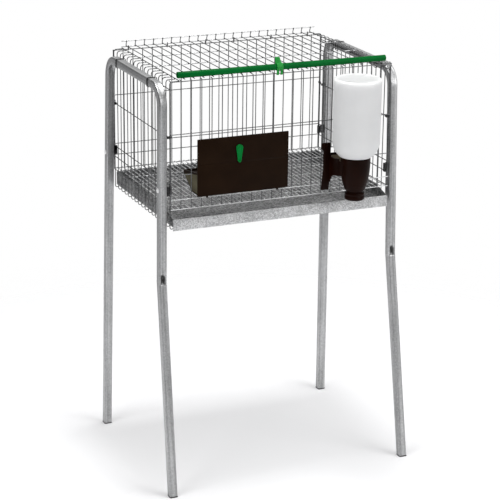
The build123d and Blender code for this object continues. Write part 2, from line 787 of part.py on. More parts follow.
# Drinker bottle: upside down, its shoulder on the bowl's rim and its neck in the bowl
rest_z = bowl_rim + play
neck_low = bowl_rim - neck_length
turn_z = rest_z + bottle_turn
seat_r = bowl_radius + bottle_seat
rim_in = bottle_radius - bottle_rim_width
dish_z = bottle_top - bottle_dish
inner_r = bottle_radius - bottle_wall
inner_top = dish_z - bottle_wall
inner_neck = neck_radius - bottle_wall
with BuildPart() as drinker_bottle:
    with BuildSketch(axis_plane):
        with BuildLine():
            top_line = Polyline(
                (0, dish_z),
                (rim_in - bottle_edge, dish_z),
                (rim_in, bottle_top),
                (bottle_radius - bottle_edge, bottle_top),
            )
            top_edge = TangentArc(top_line @ 1, (bottle_radius, bottle_top - bottle_edge), tangent=(1, 0))
            wall_line = Line(top_edge @ 1, (bottle_radius, turn_z))
            shoulder_arc = TangentArc(wall_line @ 1, (seat_r, rest_z), tangent=(0, -1))
            Polyline(
                shoulder_arc @ 1,
                (neck_radius, rest_z),
                (neck_radius, neck_low),
                (0, neck_low),
                (0, dish_z),
            )
        make_face()
    revolve(axis=spin)
    with BuildSketch(axis_plane):
        with BuildLine():
            inner_wall = Polyline(
                (0, inner_top),
                (inner_r, inner_top),
                (inner_r, turn_z),
            )
            inner_arc = TangentArc(inner_wall @ 1, (seat_r, rest_z + bottle_wall), tangent=(0, -1))
            Polyline(
                inner_arc @ 1,
                (inner_neck, rest_z + bottle_wall),
                (inner_neck, neck_low - play),
                (0, neck_low - play),
                (0, inner_top),
            )
        make_face()
    revolve(axis=spin, mode=Mode.SUBTRACT)
keep(drinker_bottle, "drinker_bottle")
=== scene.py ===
# Elevated small animal cage: the looks of its pieces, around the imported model.
# Shapes are worked out in millimetres and become metres where a mesh is made.
import json
from math import atan2, cos, hypot, pi, radians, sin

import bpy
import numpy as np
from mathutils import Matrix, Vector


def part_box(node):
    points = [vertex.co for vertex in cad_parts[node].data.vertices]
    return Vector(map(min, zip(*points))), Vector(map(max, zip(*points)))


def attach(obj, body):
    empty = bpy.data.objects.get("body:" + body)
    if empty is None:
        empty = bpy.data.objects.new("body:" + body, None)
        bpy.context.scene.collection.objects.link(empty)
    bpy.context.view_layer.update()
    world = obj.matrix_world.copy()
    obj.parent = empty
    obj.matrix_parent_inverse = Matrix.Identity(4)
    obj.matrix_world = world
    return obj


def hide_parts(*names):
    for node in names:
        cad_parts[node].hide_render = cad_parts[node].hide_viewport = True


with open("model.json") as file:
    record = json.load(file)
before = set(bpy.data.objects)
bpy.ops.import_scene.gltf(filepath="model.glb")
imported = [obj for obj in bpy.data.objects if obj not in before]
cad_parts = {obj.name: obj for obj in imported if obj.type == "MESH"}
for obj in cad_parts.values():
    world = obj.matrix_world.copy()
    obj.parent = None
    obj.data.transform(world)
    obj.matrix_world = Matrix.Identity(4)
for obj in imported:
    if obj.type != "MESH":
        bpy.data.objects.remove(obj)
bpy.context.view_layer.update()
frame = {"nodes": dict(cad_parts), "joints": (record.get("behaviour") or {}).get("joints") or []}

MM = 0.001
X, Y, Z = np.eye(3)

# Stock
wire = 2.2
weld = 0.2
step = wire - weld
wire_sides = 8
cut_length = 0.15 * wire
cut_share = 0.6
tube = 20.0
tube_wall = 1.3
tube_corner = 3.5
strip = 1.5
strip_corner = 0.35
sheet = 1.0

# Grid counts and the heights of cross wires above the cage bottom
pitch = 26.0
half_count = 11
lid_spaces = 21
lid_edge = 13.0
lid_rows = (151.0, 260.0)
side_spaces = 16
floor_rows = 6
floor_row_inset = 30.0
feeder_cut = range(-8, 1)
drinker_cut = range(5, 8)
front_pivot = 23.6
front_middle = 83.5
front_upper = 182.0
feeder_edge = 150.0
drinker_edge = 114.0
back_levels = (0.0, 36.0, 64.5, 190.0)
side_levels = (0.0, 34.0, 61.5, 172.5, 290.0)

# Wire bends, measured at the wire's middle
rim_bend = 7.0
tail_bend = 4.0
lip_bend = 3.2
bend_gap = 0.05
bead_radius = 1.7
lid_bead_radius = 2.0
sharp_angle = radians(50)


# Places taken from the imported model
def node_box(name):
    """Lowest and highest corner of a node, in millimetres."""
    low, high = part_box(name)
    return np.array(low) / MM, np.array(high) / MM


def right_points(name):
    """A node's points on the right of the cage, in millimetres."""
    points = np.array([point.co for point in frame["nodes"][name].data.vertices]) / MM
    return points[points[:, 0] > 0]


front_low, front_high = node_box("front_panel")
back_low, back_high = node_box("back_panel")
side_low, side_high = node_box("right_side_panel")
rim_low, rim_high = node_box("right_rim")
hook_low, hook_high = node_box("right_tray_hooks")
lid_low, lid_high = node_box("lid_grid")
bar_low, bar_high = node_box("lid_bar")

cage_half = front_high[0] - wire / 2
cage_bottom = front_low[2] + wire / 2
front_wire_y = front_low[1] + wire / 2
front_y = front_wire_y + step
front_top = front_high[2] - wire / 2
back_y = back_high[1] - wire / 2
back_wire_y = back_low[1] + wire / 2
back_top = back_high[2] - wire / 2
side_wire_x = side_high[0] - wire / 2
side_ys = np.linspace(side_low[1] + wire / 2, side_high[1] - wire / 2, side_spaces + 1)
grid_xs = np.arange(-half_count, half_count + 1) * pitch
bar_y = (bar_low[1] + bar_high[1]) / 2
bar_radius = (bar_high[1] - bar_low[1]) / 2
bar_z = bar_high[2] - bar_radius
lid_hinge = next(joint for joint in frame["joints"] if joint["name"] == "lid_hinge")
hinge_y, hinge_z = np.array(lid_hinge["pos_m"])[1:] / MM


# Shapes: a shape is its points and its groups of faces
def skin(rings, closed=False):
    """Rings of points joined by quads, with the end rings capped, or joined to each other when closed."""
    count, around = rings.shape[:2]
    index = np.arange(count * around).reshape(count, around)
    rows = np.vstack([index, index[:1]]) if closed else index
    after = np.roll(rows, -1, axis=1)
    quads = np.stack([rows[:-1], after[:-1], after[1:], rows[1:]], axis=-1).reshape(-1, 4)
    caps = [] if closed else [index[:1, ::-1], index[-1:]]
    return rings.reshape(-1, 3), [quads] + caps


def joined(*shapes):
    """Several shapes as one."""
    points, faces, start = [], [], 0
    for shape_points, shape_faces in shapes:
        points.append(shape_points)
        faces += [group + start for group in shape_faces]
        start += len(shape_points)
    return np.vstack(points), faces


def repeated(shape, places):
    """One shape set down at each place."""
    points, faces = shape
    places = np.asarray(places, float)
    start = len(points) * np.arange(len(places))[:, None, None]
    spread = (points[None] + places[:, None]).reshape(-1, 3)
    return spread, [(group[None] + start).reshape(-1, group.shape[1]) for group in faces]


def mirrored(shape):
    """A shape reflected in X, with its faces turned to point outwards again."""
    points, faces = shape
    return points * (-1, 1, 1), [group[:, ::-1] for group in faces]


def circle(radius, sides):
    """A round profile, counter-clockwise."""
    turn = 2 * pi * (np.arange(sides) + 0.5) / sides
    return radius * np.stack([np.cos(turn), np.sin(turn)], axis=1)


def arc(centre, radius, start, end, steps):
    """Points of a flat arc from one angle to another, in degrees."""
    turn = np.radians(np.linspace(start, end, steps + 1))
    return np.asarray(centre) + np.stack([radius * np.cos(turn), radius * np.sin(turn)], axis=1)


def corner_arc(before, corner, after, radius, steps):
    """The arc that rounds one corner: it touches both runs, and its points turn evenly about its centre."""
    to_before = (before - corner) / np.linalg.norm(before - corner)
    to_after = (after - corner) / np.linalg.norm(after - corner)
    half = np.arccos(np.clip(to_before @ to_after, -1, 1)) / 2
    middle = (to_before + to_after) / np.linalg.norm(to_before + to_after)
    centre = corner + middle * radius / np.sin(half)
    first = corner + to_before * radius / np.tan(half) - centre
    last = corner + to_after * radius / np.tan(half) - centre
    turn = pi - 2 * half
    share = np.linspace(0, 1, steps + 1)[:, None]
    return centre + (first * np.sin((1 - share) * turn) + last * np.sin(share * turn)) / np.sin(turn)


def rounded(corners, radius, steps=5):
    """An open route of straight runs joined by arcs."""
    corners = np.asarray(corners, float)
    radii = np.broadcast_to(radius, len(corners) - 2)
    arcs = [
        corner_arc(*corners[i:i + 3], radii[i], steps)
        for i in range(len(corners) - 2)
    ]
    return np.vstack([corners[:1], *arcs, corners[-1:]])


def rounded_loop(corners, radius, steps=4):
    """A closed outline of straight runs with each corner rounded, or kept where its radius is 0."""
    corners = np.asarray(corners, float)
    radii = np.broadcast_to(radius, len(corners))
    before = np.roll(corners, 1, axis=0)
    after = np.roll(corners, -1, axis=0)
    arcs = [
        corner_arc(before[i], corners[i], after[i], radii[i], steps) if radii[i] else corners[i:i + 1]
        for i in range(len(corners))
    ]
    return np.vstack(arcs)


def rectangle(half_x, half_y, radius, steps=4):
    """A rectangle with rounded corners about the origin, counter-clockwise."""
    return rounded_loop(np.array([(1, 1), (-1, 1), (-1, -1), (1, -1)]) * (half_x, half_y), radius, steps)


def carry(profile, path, across, closed=False):
    """Rings of a flat profile carried along a path that lies in one plane. The profile's second
    coordinate runs along the plane's normal, and its first along that normal crossed with the tangent."""
    if closed:
        tangent = np.roll(path, -1, axis=0) - np.roll(path, 1, axis=0)
    else:
        tangent = np.gradient(path, axis=0)
    tangent /= np.linalg.norm(tangent, axis=1, keepdims=True)
    side = np.cross(across, tangent)
    return path[:, None] + profile[..., :1] * side[:, None] + profile[..., 1:] * np.asarray(across)


def inset(outline, depth):
    """A closed outline drawn in evenly: each corner moves along the sum of its two edges' normals."""
    edge = np.roll(outline, -1, axis=0) - outline
    edge /= np.linalg.norm(edge, axis=1, keepdims=True)
    inward = np.stack([-edge[:, 1], edge[:, 0]], axis=1)
    before = np.roll(inward, 1, axis=0)
    both = 1 + (inward * before).sum(axis=1, keepdims=True)
    return outline + depth * (inward + before) / both


def block(outline, low, high, axis, edge):
    """A flat outline drawn out along one axis from low to high, with quarter-round edges. The outline
    is in the other two axes, in the order X, Y, Z."""
    outline = np.asarray(outline, float)
    after = np.roll(outline, -1, axis=0)
    area = (outline[:, 0] * after[:, 1] - after[:, 0] * outline[:, 1]).sum()
    if area < 0:
        outline = outline[::-1]
    turn = np.radians([0, 30, 60, 90])
    depths = edge * (1 - np.sin(turn))
    heights = edge * (1 - np.cos(turn))
    levels = np.concatenate([low + heights, high - heights[::-1]])
    drawn = np.stack([inset(outline, depth) for depth in np.concatenate([depths, depths[::-1]])])
    first, second = [other for other in range(3) if other != axis]
    rings = np.zeros(drawn.shape[:2] + (3,))
    rings[..., first] = drawn[..., 0]
    rings[..., second] = drawn[..., 1]
    rings[..., axis] = levels[:, None]
    if axis == 1:
        rings = rings[:, ::-1]
    return skin(rings)


def turned(profile, centre, around=64, closed=False):
    """A profile of radius and height turned about an upright axis."""
    profile = np.asarray(profile, float)
    turn = 2 * pi * np.arange(around) / around
    rings = np.empty((len(profile), around, 3))
    rings[..., 0] = centre[0] + profile[:, :1] * np.cos(turn)
    rings[..., 1] = centre[1] + profile[:, :1] * np.sin(turn)
    rings[..., 2] = profile[:, 1:]
    return skin(rings, closed)


def pan(half_x, half_y, rows, centre, knee=None):
    """An open pan: rounded rectangles, each given by how far it is drawn in, its corner radius and its
    height, from the middle of the underside up the outer wall, over the rim and down to the floor inside.
    With a knee, each ring has a point there on its left and right sides."""
    rings = []
    for drawn_in, radius, height in rows:
        edge_x = half_x - drawn_in
        outline = rectangle(edge_x, half_y - drawn_in, radius)
        if knee is not None:
            rear = len(outline) // 2
            outline = np.vstack([outline[:rear], (-edge_x, knee), outline[rear:], (edge_x, knee)])
        rings.append(np.column_stack([outline + np.asarray(centre), np.full(len(outline), height)]))
    return skin(np.stack(rings))


def fold_rows(fold, radius, low, angles):
    """Rows of a pan's lower edge: a quarter round from its underside to its outer wall."""
    return [(fold * (1 - sin(turn)), radius, low + fold * (1 - cos(turn))) for turn in np.radians(angles)]


def rod(corners, bend=0.0, across=Y):
    """Round wire along straight runs with rounded bends. Its cut ends are drawn in a little."""
    path = np.asarray(corners, float)
    if len(path) > 2:
        path = rounded(path, bend)
    start = path[0] + cut_length * (path[1] - path[0]) / np.linalg.norm(path[1] - path[0])
    end = path[-1] + cut_length * (path[-2] - path[-1]) / np.linalg.norm(path[-2] - path[-1])
    path = np.vstack([path[:1], start, path[1:-1], end, path[-1:]])
    scale = np.ones(len(path))
    scale[[0, -1]] = cut_share
    return skin(carry(circle(wire / 2, wire_sides) * scale[:, None, None], path, across))


def cross_rod(half, y, z):
    """A straight wire from side to side."""
    return rod([(-half, y, z), (half, y, z)])


def beads(places, radius=bead_radius):
    """Welded crossings: a small ball of zinc at each place, in four rings of eight."""
    rise = np.radians([-67.5, -22.5, 22.5, 67.5])
    rings = np.empty((4, 8, 3))
    rings[..., :2] = circle(1.0, 8) * np.cos(rise)[:, None, None]
    rings[..., 2] = np.sin(rise)[:, None]
    return repeated(skin(radius * rings), places)


def places(xs, ys, zs):
    """Every combination of the given coordinates as a list of places."""
    return np.stack(np.meshgrid(xs, ys, zs, indexing="ij"), axis=-1).reshape(-1, 3)


# Finishes
def add(tree, kind, inputs=None, **settings):
    """A node with its settings, and its inputs given as values or as sockets to link."""
    made = tree.nodes.new("ShaderNode" + kind)
    for key, value in settings.items():
        setattr(made, key, value)
    for key, value in (inputs or {}).items():
        if isinstance(value, bpy.types.NodeSocket):
            tree.links.new(value, made.inputs[key])
        else:
            made.inputs[key].default_value = value
    return made


def start_group(name, inputs, outputs):
    """An empty node group with a Place input, further number inputs, and number outputs."""
    tree = bpy.data.node_groups.new(name, "ShaderNodeTree")
    tree.interface.new_socket("Place", in_out="INPUT", socket_type="NodeSocketVector")
    for label in inputs:
        tree.interface.new_socket(label, in_out="INPUT", socket_type="NodeSocketFloat")
    for label in outputs:
        tree.interface.new_socket(label, in_out="OUTPUT", socket_type="NodeSocketFloat")
    return tree, tree.nodes.new("NodeGroupInput"), tree.nodes.new("NodeGroupOutput")


def use_group(tree, group, place, **values):
    """A node group placed in a material with its own values."""
    made = tree.nodes.new("ShaderNodeGroup")
    made.node_tree = group
    tree.links.new(place, made.inputs["Place"])
    for label, value in values.items():
        made.inputs[label.replace("_", " ")].default_value = value
    return made


def math(tree, operation, first, second):
    """The result of a two-number sum."""
    return add(tree, "Math", {0: first, 1: second}, operation=operation).outputs[0]


def weighted(tree, first, share, second):
    """Two numbers mixed: the first by its share, the second by the rest."""
    part = math(tree, "MULTIPLY", first, share)
    return math(tree, "ADD", part, math(tree, "MULTIPLY", second, 1 - share))


crystal_share = 0.6
finer_crystals = 2.6
zinc_clouds = 14.0
zinc_grain = 1500.0
plastic_clouds = 22.0
plastic_grain = 2200.0
cloud_share = 0.7
relief_depth = 0.0002
dark_end = 0.34
light_end = 0.66
# Painted shade: the colour laid into the tube's kink dent, where shade falls.
dent_shade_colour = (0.02, 0.02, 0.02, 1)
glow_reach = (1.0, 0.97, 0.95)
glow_scale = 0.02


def zinc_group():
    """Zinc crystals: each cell has its own tone, with smaller cells laid over larger ones."""
    tree, source, sink = start_group("zinc_crystals", ["Per metre"], ["Tone"])
    tones = []
    for finer in (1.0, finer_crystals):
        scale = math(tree, "MULTIPLY", source.outputs["Per metre"], finer)
        cells = add(tree, "TexVoronoi", {"Vector": source.outputs["Place"], "Scale": scale})
        tones.append(add(tree, "SeparateColor", {"Color": cells.outputs["Color"]}).outputs["Red"])
    tree.links.new(weighted(tree, tones[0], crystal_share, tones[1]), sink.inputs["Tone"])
    return tree


def cloud_group():
    """Slow blotches and fine grain: two noises of their own scales."""
    tree, source, sink = start_group("clouds_and_grain", ["Clouds", "Grain"], ["Cloud", "Grain"])
    for scale, label, detail in (("Clouds", "Cloud", 4.0), ("Grain", "Grain", 2.0)):
        inputs = {"Vector": source.outputs["Place"], "Scale": source.outputs[scale], "Detail": detail}
        tree.links.new(add(tree, "TexNoise", inputs).outputs["Fac"], sink.inputs[label])
    return tree


def streak_group():
    """Drawing marks: noise stretched along the third coordinate of Place."""
    tree, source, sink = start_group("drawing_marks", ["Across", "Along"], ["Mark"])
    across, along = source.outputs["Across"], source.outputs["Along"]
    scale = add(tree, "CombineXYZ", {"X": across, "Y": across, "Z": along}).outputs[0]
    stretched = add(tree, "VectorMath", {0: source.outputs["Place"], 1: scale}, operation="MULTIPLY")
    noise = add(tree, "TexNoise", {"Vector": stretched.outputs[0], "Scale": 1.0, "Detail": 3.0})
    tree.links.new(noise.outputs["Fac"], sink.inputs["Mark"])
    return tree


zinc = zinc_group()
clouds = cloud_group()
streaks = streak_group()


def start_finish(name):
    """A new material with its Principled shader, and the place on the piece that patterns read."""
    finish = bpy.data.materials.new(name)
    finish.use_nodes = True
    tree = finish.node_tree
    tree.nodes.clear()
    shader = add(tree, "BsdfPrincipled")
    add(tree, "OutputMaterial", {"Surface": shader.outputs["BSDF"]})
    place = add(tree, "TexCoord").outputs["Object"]
    return finish, tree, shader, place


def blend(tree, factor, dark, light):
    """A colour between dark and light."""
    ramp = add(tree, "ValToRGB", {"Fac": factor})
    ramp.color_ramp.elements[0].position = dark_end
    ramp.color_ramp.elements[1].position = light_end
    ramp.color_ramp.elements[0].color = (*dark, 1)
    ramp.color_ramp.elements[1].color = (*light, 1)
    return ramp.outputs["Color"]


def span(tree, factor, low, high, start=0.0, end=1.0, way="LINEAR"):
    """A number that goes from low to high while the factor goes from start to end."""
    inputs = {"Value": factor, "From Min": start, "From Max": end, "To Min": low, "To Max": high}
    return add(tree, "MapRange", inputs, interpolation_type=way).outputs["Result"]


def bump(tree, shader, height, strength):
    """Surface relief from a height."""
    relief = add(tree, "Bump", {"Height": height, "Strength": strength, "Distance": relief_depth})
    tree.links.new(relief.outputs["Normal"], shader.inputs["Normal"])


def galvanised(name, dark, light, crystals, rough, marks=None, metal=1.0):
    """Galvanised steel: zinc crystals over slow blotches. A piece with marks has drawing marks, given by
    their scale across and along and their share, and painted shade where it is pressed in."""
    finish, tree, shader, place = start_finish(name)
    spangle = use_group(tree, zinc, place, Per_metre=crystals)
    cloud = use_group(tree, clouds, place, Clouds=zinc_clouds, Grain=zinc_grain)
    tone = weighted(tree, spangle.outputs["Tone"], crystal_share, cloud.outputs["Cloud"])
    if marks:
        run = add(tree, "Attribute", attribute_name="along").outputs["Vector"]
        mark = use_group(tree, streaks, run, Across=marks[0], Along=marks[1])
        tone = weighted(tree, mark.outputs["Mark"], marks[2], tone)
    colour = blend(tree, tone, dark, light)
    if marks:
        # Painted shade: the pressed attribute darkens the dent towards the dent shade colour.
        pressed = add(tree, "Attribute", attribute_name="pressed").outputs["Fac"]
        dent_shaded = add(tree, "Mix", {"Factor": pressed, "A": colour, "B": dent_shade_colour}, data_type="RGBA")
        colour = dent_shaded.outputs["Result"]
    tree.links.new(colour, shader.inputs["Base Color"])
    tree.links.new(span(tree, tone, rough + 0.1, rough - 0.1), shader.inputs["Roughness"])
    shader.inputs["Metallic"].default_value = metal
    bump(tree, shader, math(tree, "ADD", tone, cloud.outputs["Grain"]), 0.25)
    return finish


def moulded(name, dark, light, rough, specular, see_through=0.0):
    """Moulded plastic: fine grain, slow blotches in colour and gloss, and light that soaks in where the
    wall is thin enough to be see-through."""
    finish, tree, shader, place = start_finish(name)
    cloud = use_group(tree, clouds, place, Clouds=plastic_clouds, Grain=plastic_grain)
    tone = weighted(tree, cloud.outputs["Cloud"], cloud_share, cloud.outputs["Grain"])
    tree.links.new(blend(tree, tone, dark, light), shader.inputs["Base Color"])
    tree.links.new(span(tree, cloud.outputs["Cloud"], rough - 0.08, rough + 0.1), shader.inputs["Roughness"])
    shader.inputs["Specular IOR Level"].default_value = specular
    if see_through:
        shader.inputs["Subsurface Weight"].default_value = see_through
        shader.inputs["Subsurface Radius"].default_value = glow_reach
        shader.inputs["Subsurface Scale"].default_value = glow_scale
    bump(tree, shader, cloud.outputs["Grain"], 0.15)
    return finish


tube_zinc = galvanised(
    "tube_zinc", (0.27, 0.273, 0.276), (0.62, 0.624, 0.628), 520.0, 0.42, (260.0, 3.0, 0.6))
wire_zinc = galvanised("wire_zinc", (0.08, 0.081, 0.083), (0.25, 0.253, 0.256), 700.0, 0.34)
lid_zinc = galvanised("lid_zinc", (0.12, 0.122, 0.125), (0.32, 0.324, 0.328), 700.0, 0.36)
weld_zinc = galvanised("weld_zinc", (0.03, 0.03, 0.031), (0.11, 0.111, 0.113), 900.0, 0.4)
# Painted highlight: a paler copy of the wire for cross wires that catch the light, the lid's and the front
# panel's lowest two.
wire_painted_highlight = galvanised("wire_painted_highlight", (0.5, 0.505, 0.51), (0.8, 0.805, 0.81), 700.0, 0.36)
sheet_zinc = galvanised("sheet_zinc", (0.3, 0.303, 0.306), (0.71, 0.714, 0.718), 520.0, 0.42, metal=0.7)
# Painted shade: a darker copy of the tray sheet for the pan, standing for the shade under the cage floor.
pan_painted_shade_zinc = galvanised("pan_painted_shade_zinc", (0.07, 0.0705, 0.071), (0.41, 0.412, 0.415), 280.0, 0.45, metal=0.7)
# Painted highlight: a paler copy of the wire for the floor grid, standing for the light its wires catch over
# the dark tray.
floor_painted_light_zinc = galvanised("floor_painted_light_zinc", (0.42, 0.423, 0.426), (0.92, 0.924, 0.928), 500.0, 0.45, metal=0.7)
clip_steel = galvanised("clip_steel", (0.04, 0.04, 0.041), (0.14, 0.14, 0.142), 900.0, 0.45)
screw_steel = galvanised("screw_steel", (0.7, 0.7, 0.705), (0.92, 0.92, 0.925), 900.0, 0.3, metal=0.4)
ring_steel = galvanised("ring_steel", (0.12, 0.12, 0.122), (0.3, 0.3, 0.305), 900.0, 0.4)
plug_black = moulded("plug_black", (0.012, 0.012, 0.013), (0.03, 0.03, 0.031), 0.5, 0.3)
bar_green = moulded("bar_green", (0.0, 0.082, 0.013), (0.0004, 0.118, 0.02), 0.36, 0.045)
latch_green = moulded("latch_green", (0.008, 0.19, 0.026), (0.016, 0.27, 0.04), 0.34, 0.18)
grip_green = moulded("grip_green", (0.0005, 0.13, 0.022), (0.0012, 0.19, 0.034), 0.36, 0.06)
feeder_brown = moulded("feeder_brown", (0.0075, 0.0027, 0.0005), (0.0125, 0.0052, 0.0016), 0.45, 0.055)
# Painted reflection: a lighter olive copy of the feeder's colour for the outer faces of the trough ends,
# standing for the light they reflect.
feeder_painted_reflection = moulded("feeder_painted_reflection", (0.04, 0.036, 0.022), (0.13, 0.117, 0.075), 0.6, 0.1)
# A pale tan film inside the drinking cup.
cup_pale_film = moulded("cup_pale_film", (0.2, 0.165, 0.115), (0.34, 0.3, 0.23), 0.6, 0.1)
drinker_brown = moulded("drinker_brown", (0.0055, 0.0012, 0.0004), (0.0105, 0.0026, 0.001), 0.34, 0.06)
bottle_white = moulded("bottle_white", (0.79, 0.792, 0.795), (0.83, 0.83, 0.83), 0.34, 0.6, see_through=0.45)


# Pieces
def make(name, shape, body, slot, finish, *nodes, extras=()):
    """A shape as a mesh piece in metres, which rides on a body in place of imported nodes. Extras are more
    shapes of the same piece, each with its own finish."""
    shapes = [shape] + [extra for extra, _ in extras]
    points, faces = joined(*shapes)
    mesh = bpy.data.meshes.new(name)
    mesh.from_pydata((points * MM).tolist(), [], [face for group in faces for face in group.tolist()])
    mesh.update()
    mesh.polygons.foreach_set("use_smooth", np.ones(len(mesh.polygons), bool))
    mesh.set_sharp_from_angle(angle=sharp_angle)
    for one in [finish] + [extra_finish for _, extra_finish in extras]:
        mesh.materials.append(one)
    counts = [sum(len(group) for group in groups) for _, groups in shapes]
    mesh.polygons.foreach_set("material_index", np.repeat(np.arange(len(shapes)), counts).astype(np.int32))
    piece = bpy.data.objects.new(name, mesh)
    bpy.context.scene.collection.objects.link(piece)
    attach(piece, body)
    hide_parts(*nodes)
    return piece


# Leg frames
frame_lean = 14.0
bend_radius = 45.0
bend_steps = 16
kink_height = 520.0
front_lean = 10.5
front_kick = 88.5
back_splay = 22.0
plug_flange = 3.0
bend_dent = 6.0
bend_sink = 1.8
bend_dent_length = 64.0
kink_dent = 7.5
kink_dent_length = 30.0
kink_dent_rise = 9.0
kink_dent_share = 0.62
dent_shade = 0.85
dent_full_shade = 0.5
face_power = 6
face_share = 0.9
dent_steps = 33
even_steps = 60
least_step = 0.5
frame_top = node_box("right_leg_frame")[1][2] - tube / 2
frame_tilt = atan2(frame_lean, frame_top)


def foot(name):
    """Middle of a foot plug on the floor."""
    low, high = node_box(name)
    return (low[0] + high[0]) / 2, (low[1] + high[1]) / 2


def hump(distance, middle, length):
    """A smooth hump along a path: the square of a cosine, 1 in its middle and 0 beyond its length."""
    return np.cos(pi / 2 * np.clip((distance - middle) / (length / 2), -1, 1)) ** 2


def tube_profile(half, corner, flats=11):
    """A square of rounded corners, with extra points along its flats."""
    run = np.linspace(-1, 1, flats + 2)[1:-1] * (half - corner)
    bend = arc((half - corner, half - corner), corner, 0, 90, 4)
    side = np.vstack([np.column_stack([np.full(flats, half), run]), bend])
    quarter = np.array([(0, 1), (-1, 0)])
    sides = [side]
    for _ in range(3):
        sides.append(sides[-1] @ quarter)
    return np.vstack(sides)


def leg_frame():
    """One bent tube. Its section is pressed in on the inside of each bend, and a little on the outside,
    by a hump along the path times a parabola across the face. The kink has a narrower, deeper dent. Also
    gives the place along the tube, and how deep the dent is there."""
    foot_x, back_foot = foot("back_right_foot_plug")
    front_foot = foot("front_right_foot_plug")[1]

    def at(y, z):
        return foot_x - frame_lean * z / frame_top, y, z

    corners = np.array([
        at(back_foot, 0),
        at(back_foot - back_splay, frame_top),
        at(front_foot + front_kick + front_lean, frame_top),
        at(front_foot + front_kick, kink_height),
        at(front_foot, 0),
    ])
    route = rounded(corners, bend_radius, bend_steps)
    distance = np.append(0, np.cumsum(np.linalg.norm(np.diff(route, axis=0), axis=1)))
    bends = distance[1:-1].reshape(3, bend_steps + 1).mean(axis=1)
    near = [np.linspace(b - bend_dent_length / 2, b + bend_dent_length / 2, dent_steps) for b in bends]
    even = np.linspace(0, distance[-1], even_steps)
    along = np.unique(np.round(np.concatenate([distance, even, *near]), 3))
    along = along[np.append(True, np.diff(along) > least_step)]
    path = np.stack([np.interp(along, distance, route[:, i]) for i in range(3)], axis=1)
    across = np.array([frame_top, 0, frame_lean]) / hypot(frame_top, frame_lean)
    pressed = sum(hump(along, b, bend_dent_length) for b in bends[:2])[:, None]
    kinked = hump(along, bends[2] - kink_dent_rise, kink_dent_length)[:, None]
    walls = []
    for half, corner in ((tube / 2, tube_corner), (tube / 2 - tube_wall, tube_corner - tube_wall)):
        profile = tube_profile(half, corner)
        deep, wide = profile[:, 0] / half, profile[:, 1] / half
        crown = 1 - wide ** 2
        inner = np.clip(deep, 0, 1) ** face_power * crown
        outer = np.clip(-deep, 0, 1) ** face_power * crown
        dented = np.sqrt(kinked) * np.clip(1 - (wide / kink_dent_share) ** 2, 0, 1) * (deep < -face_share)
        moved = np.broadcast_to(profile, (len(along),) + profile.shape).copy()
        moved[..., 0] += outer * bend_sink * pressed + kink_dent * dented - inner * bend_dent * pressed
        rings = carry(moved, path, across)
        for end, other in ((0, 1), (-1, -2)):
            run = path[end] - path[other]
            rings[end] += run * (plug_flange - rings[end][:, 2:]) / run[2]
        walls.append(rings)
    along_points = np.broadcast_to(along[:, None, None], moved.shape[:2] + (1,))
    place = np.concatenate([moved, along_points], axis=-1)
    depth = np.clip(dented / dent_full_shade, 0, 1) ** 2
    shape = skin(np.concatenate([walls[0], walls[1][::-1]]), closed=True)
    place, depth = [np.concatenate([rows, rows[::-1]]) for rows in (place, depth)]
    return shape, place.reshape(-1, 3), depth.ravel()


frame_shape, along_tube, dent_depth = leg_frame()
for name, shape, node in (
    ("right_tube_frame", frame_shape, "right_leg_frame"),
    ("left_tube_frame", mirrored(frame_shape), "left_leg_frame"),
):
    piece = make(name, shape, "stand", "frame_tube", tube_zinc, node)
    along = piece.data.attributes.new("along", "FLOAT_VECTOR", "POINT")
    along.data.foreach_set("vector", (along_tube * MM).astype(np.float32).ravel())
    # Painted shade: the kink dent's base colour is darkened by how deep the dent is.
    pressed = piece.data.attributes.new("pressed", "FLOAT", "POINT")
    pressed.data.foreach_set("value", (dent_shade * dent_depth).astype(np.float32))

# Foot plugs
plug_edge = 0.9
plug_depth = 18.0
plug_fit = 1.2
plug_lip = 0.4
flange_half = tube / 2 + plug_lip
stem_half = tube / 2 - tube_wall - plug_fit / 2
side_lean = {"left": frame_lean / frame_top, "right": -frame_lean / frame_top}
end_lean = {"front": front_kick / kink_height, "back": -back_splay / frame_top}


def foot_plug(node, lean_x, lean_y):
    """A flange under the tube's end, and a stem that leans with the tube: its points move sideways in
    proportion to their height."""
    flange = rectangle(flange_half, flange_half, tube_corner) + foot(node)
    stem = rectangle(stem_half, stem_half, tube_corner - tube_wall) + foot(node)
    points, faces = block(stem, plug_flange / 2, plug_depth, 2, plug_edge)
    leaning = points + points[:, 2:] * (lean_x, lean_y, 0)
    return joined(block(flange, 0.0, plug_flange, 2, plug_edge), (leaning, faces))


for end in ("front", "back"):
    for side in ("left", "right"):
        node = f"{end}_{side}_foot_plug"
        shape = foot_plug(node, side_lean[side], end_lean[end])
        make(f"{end}_{side}_foot", shape, "stand", "foot_plug", plug_black, node)


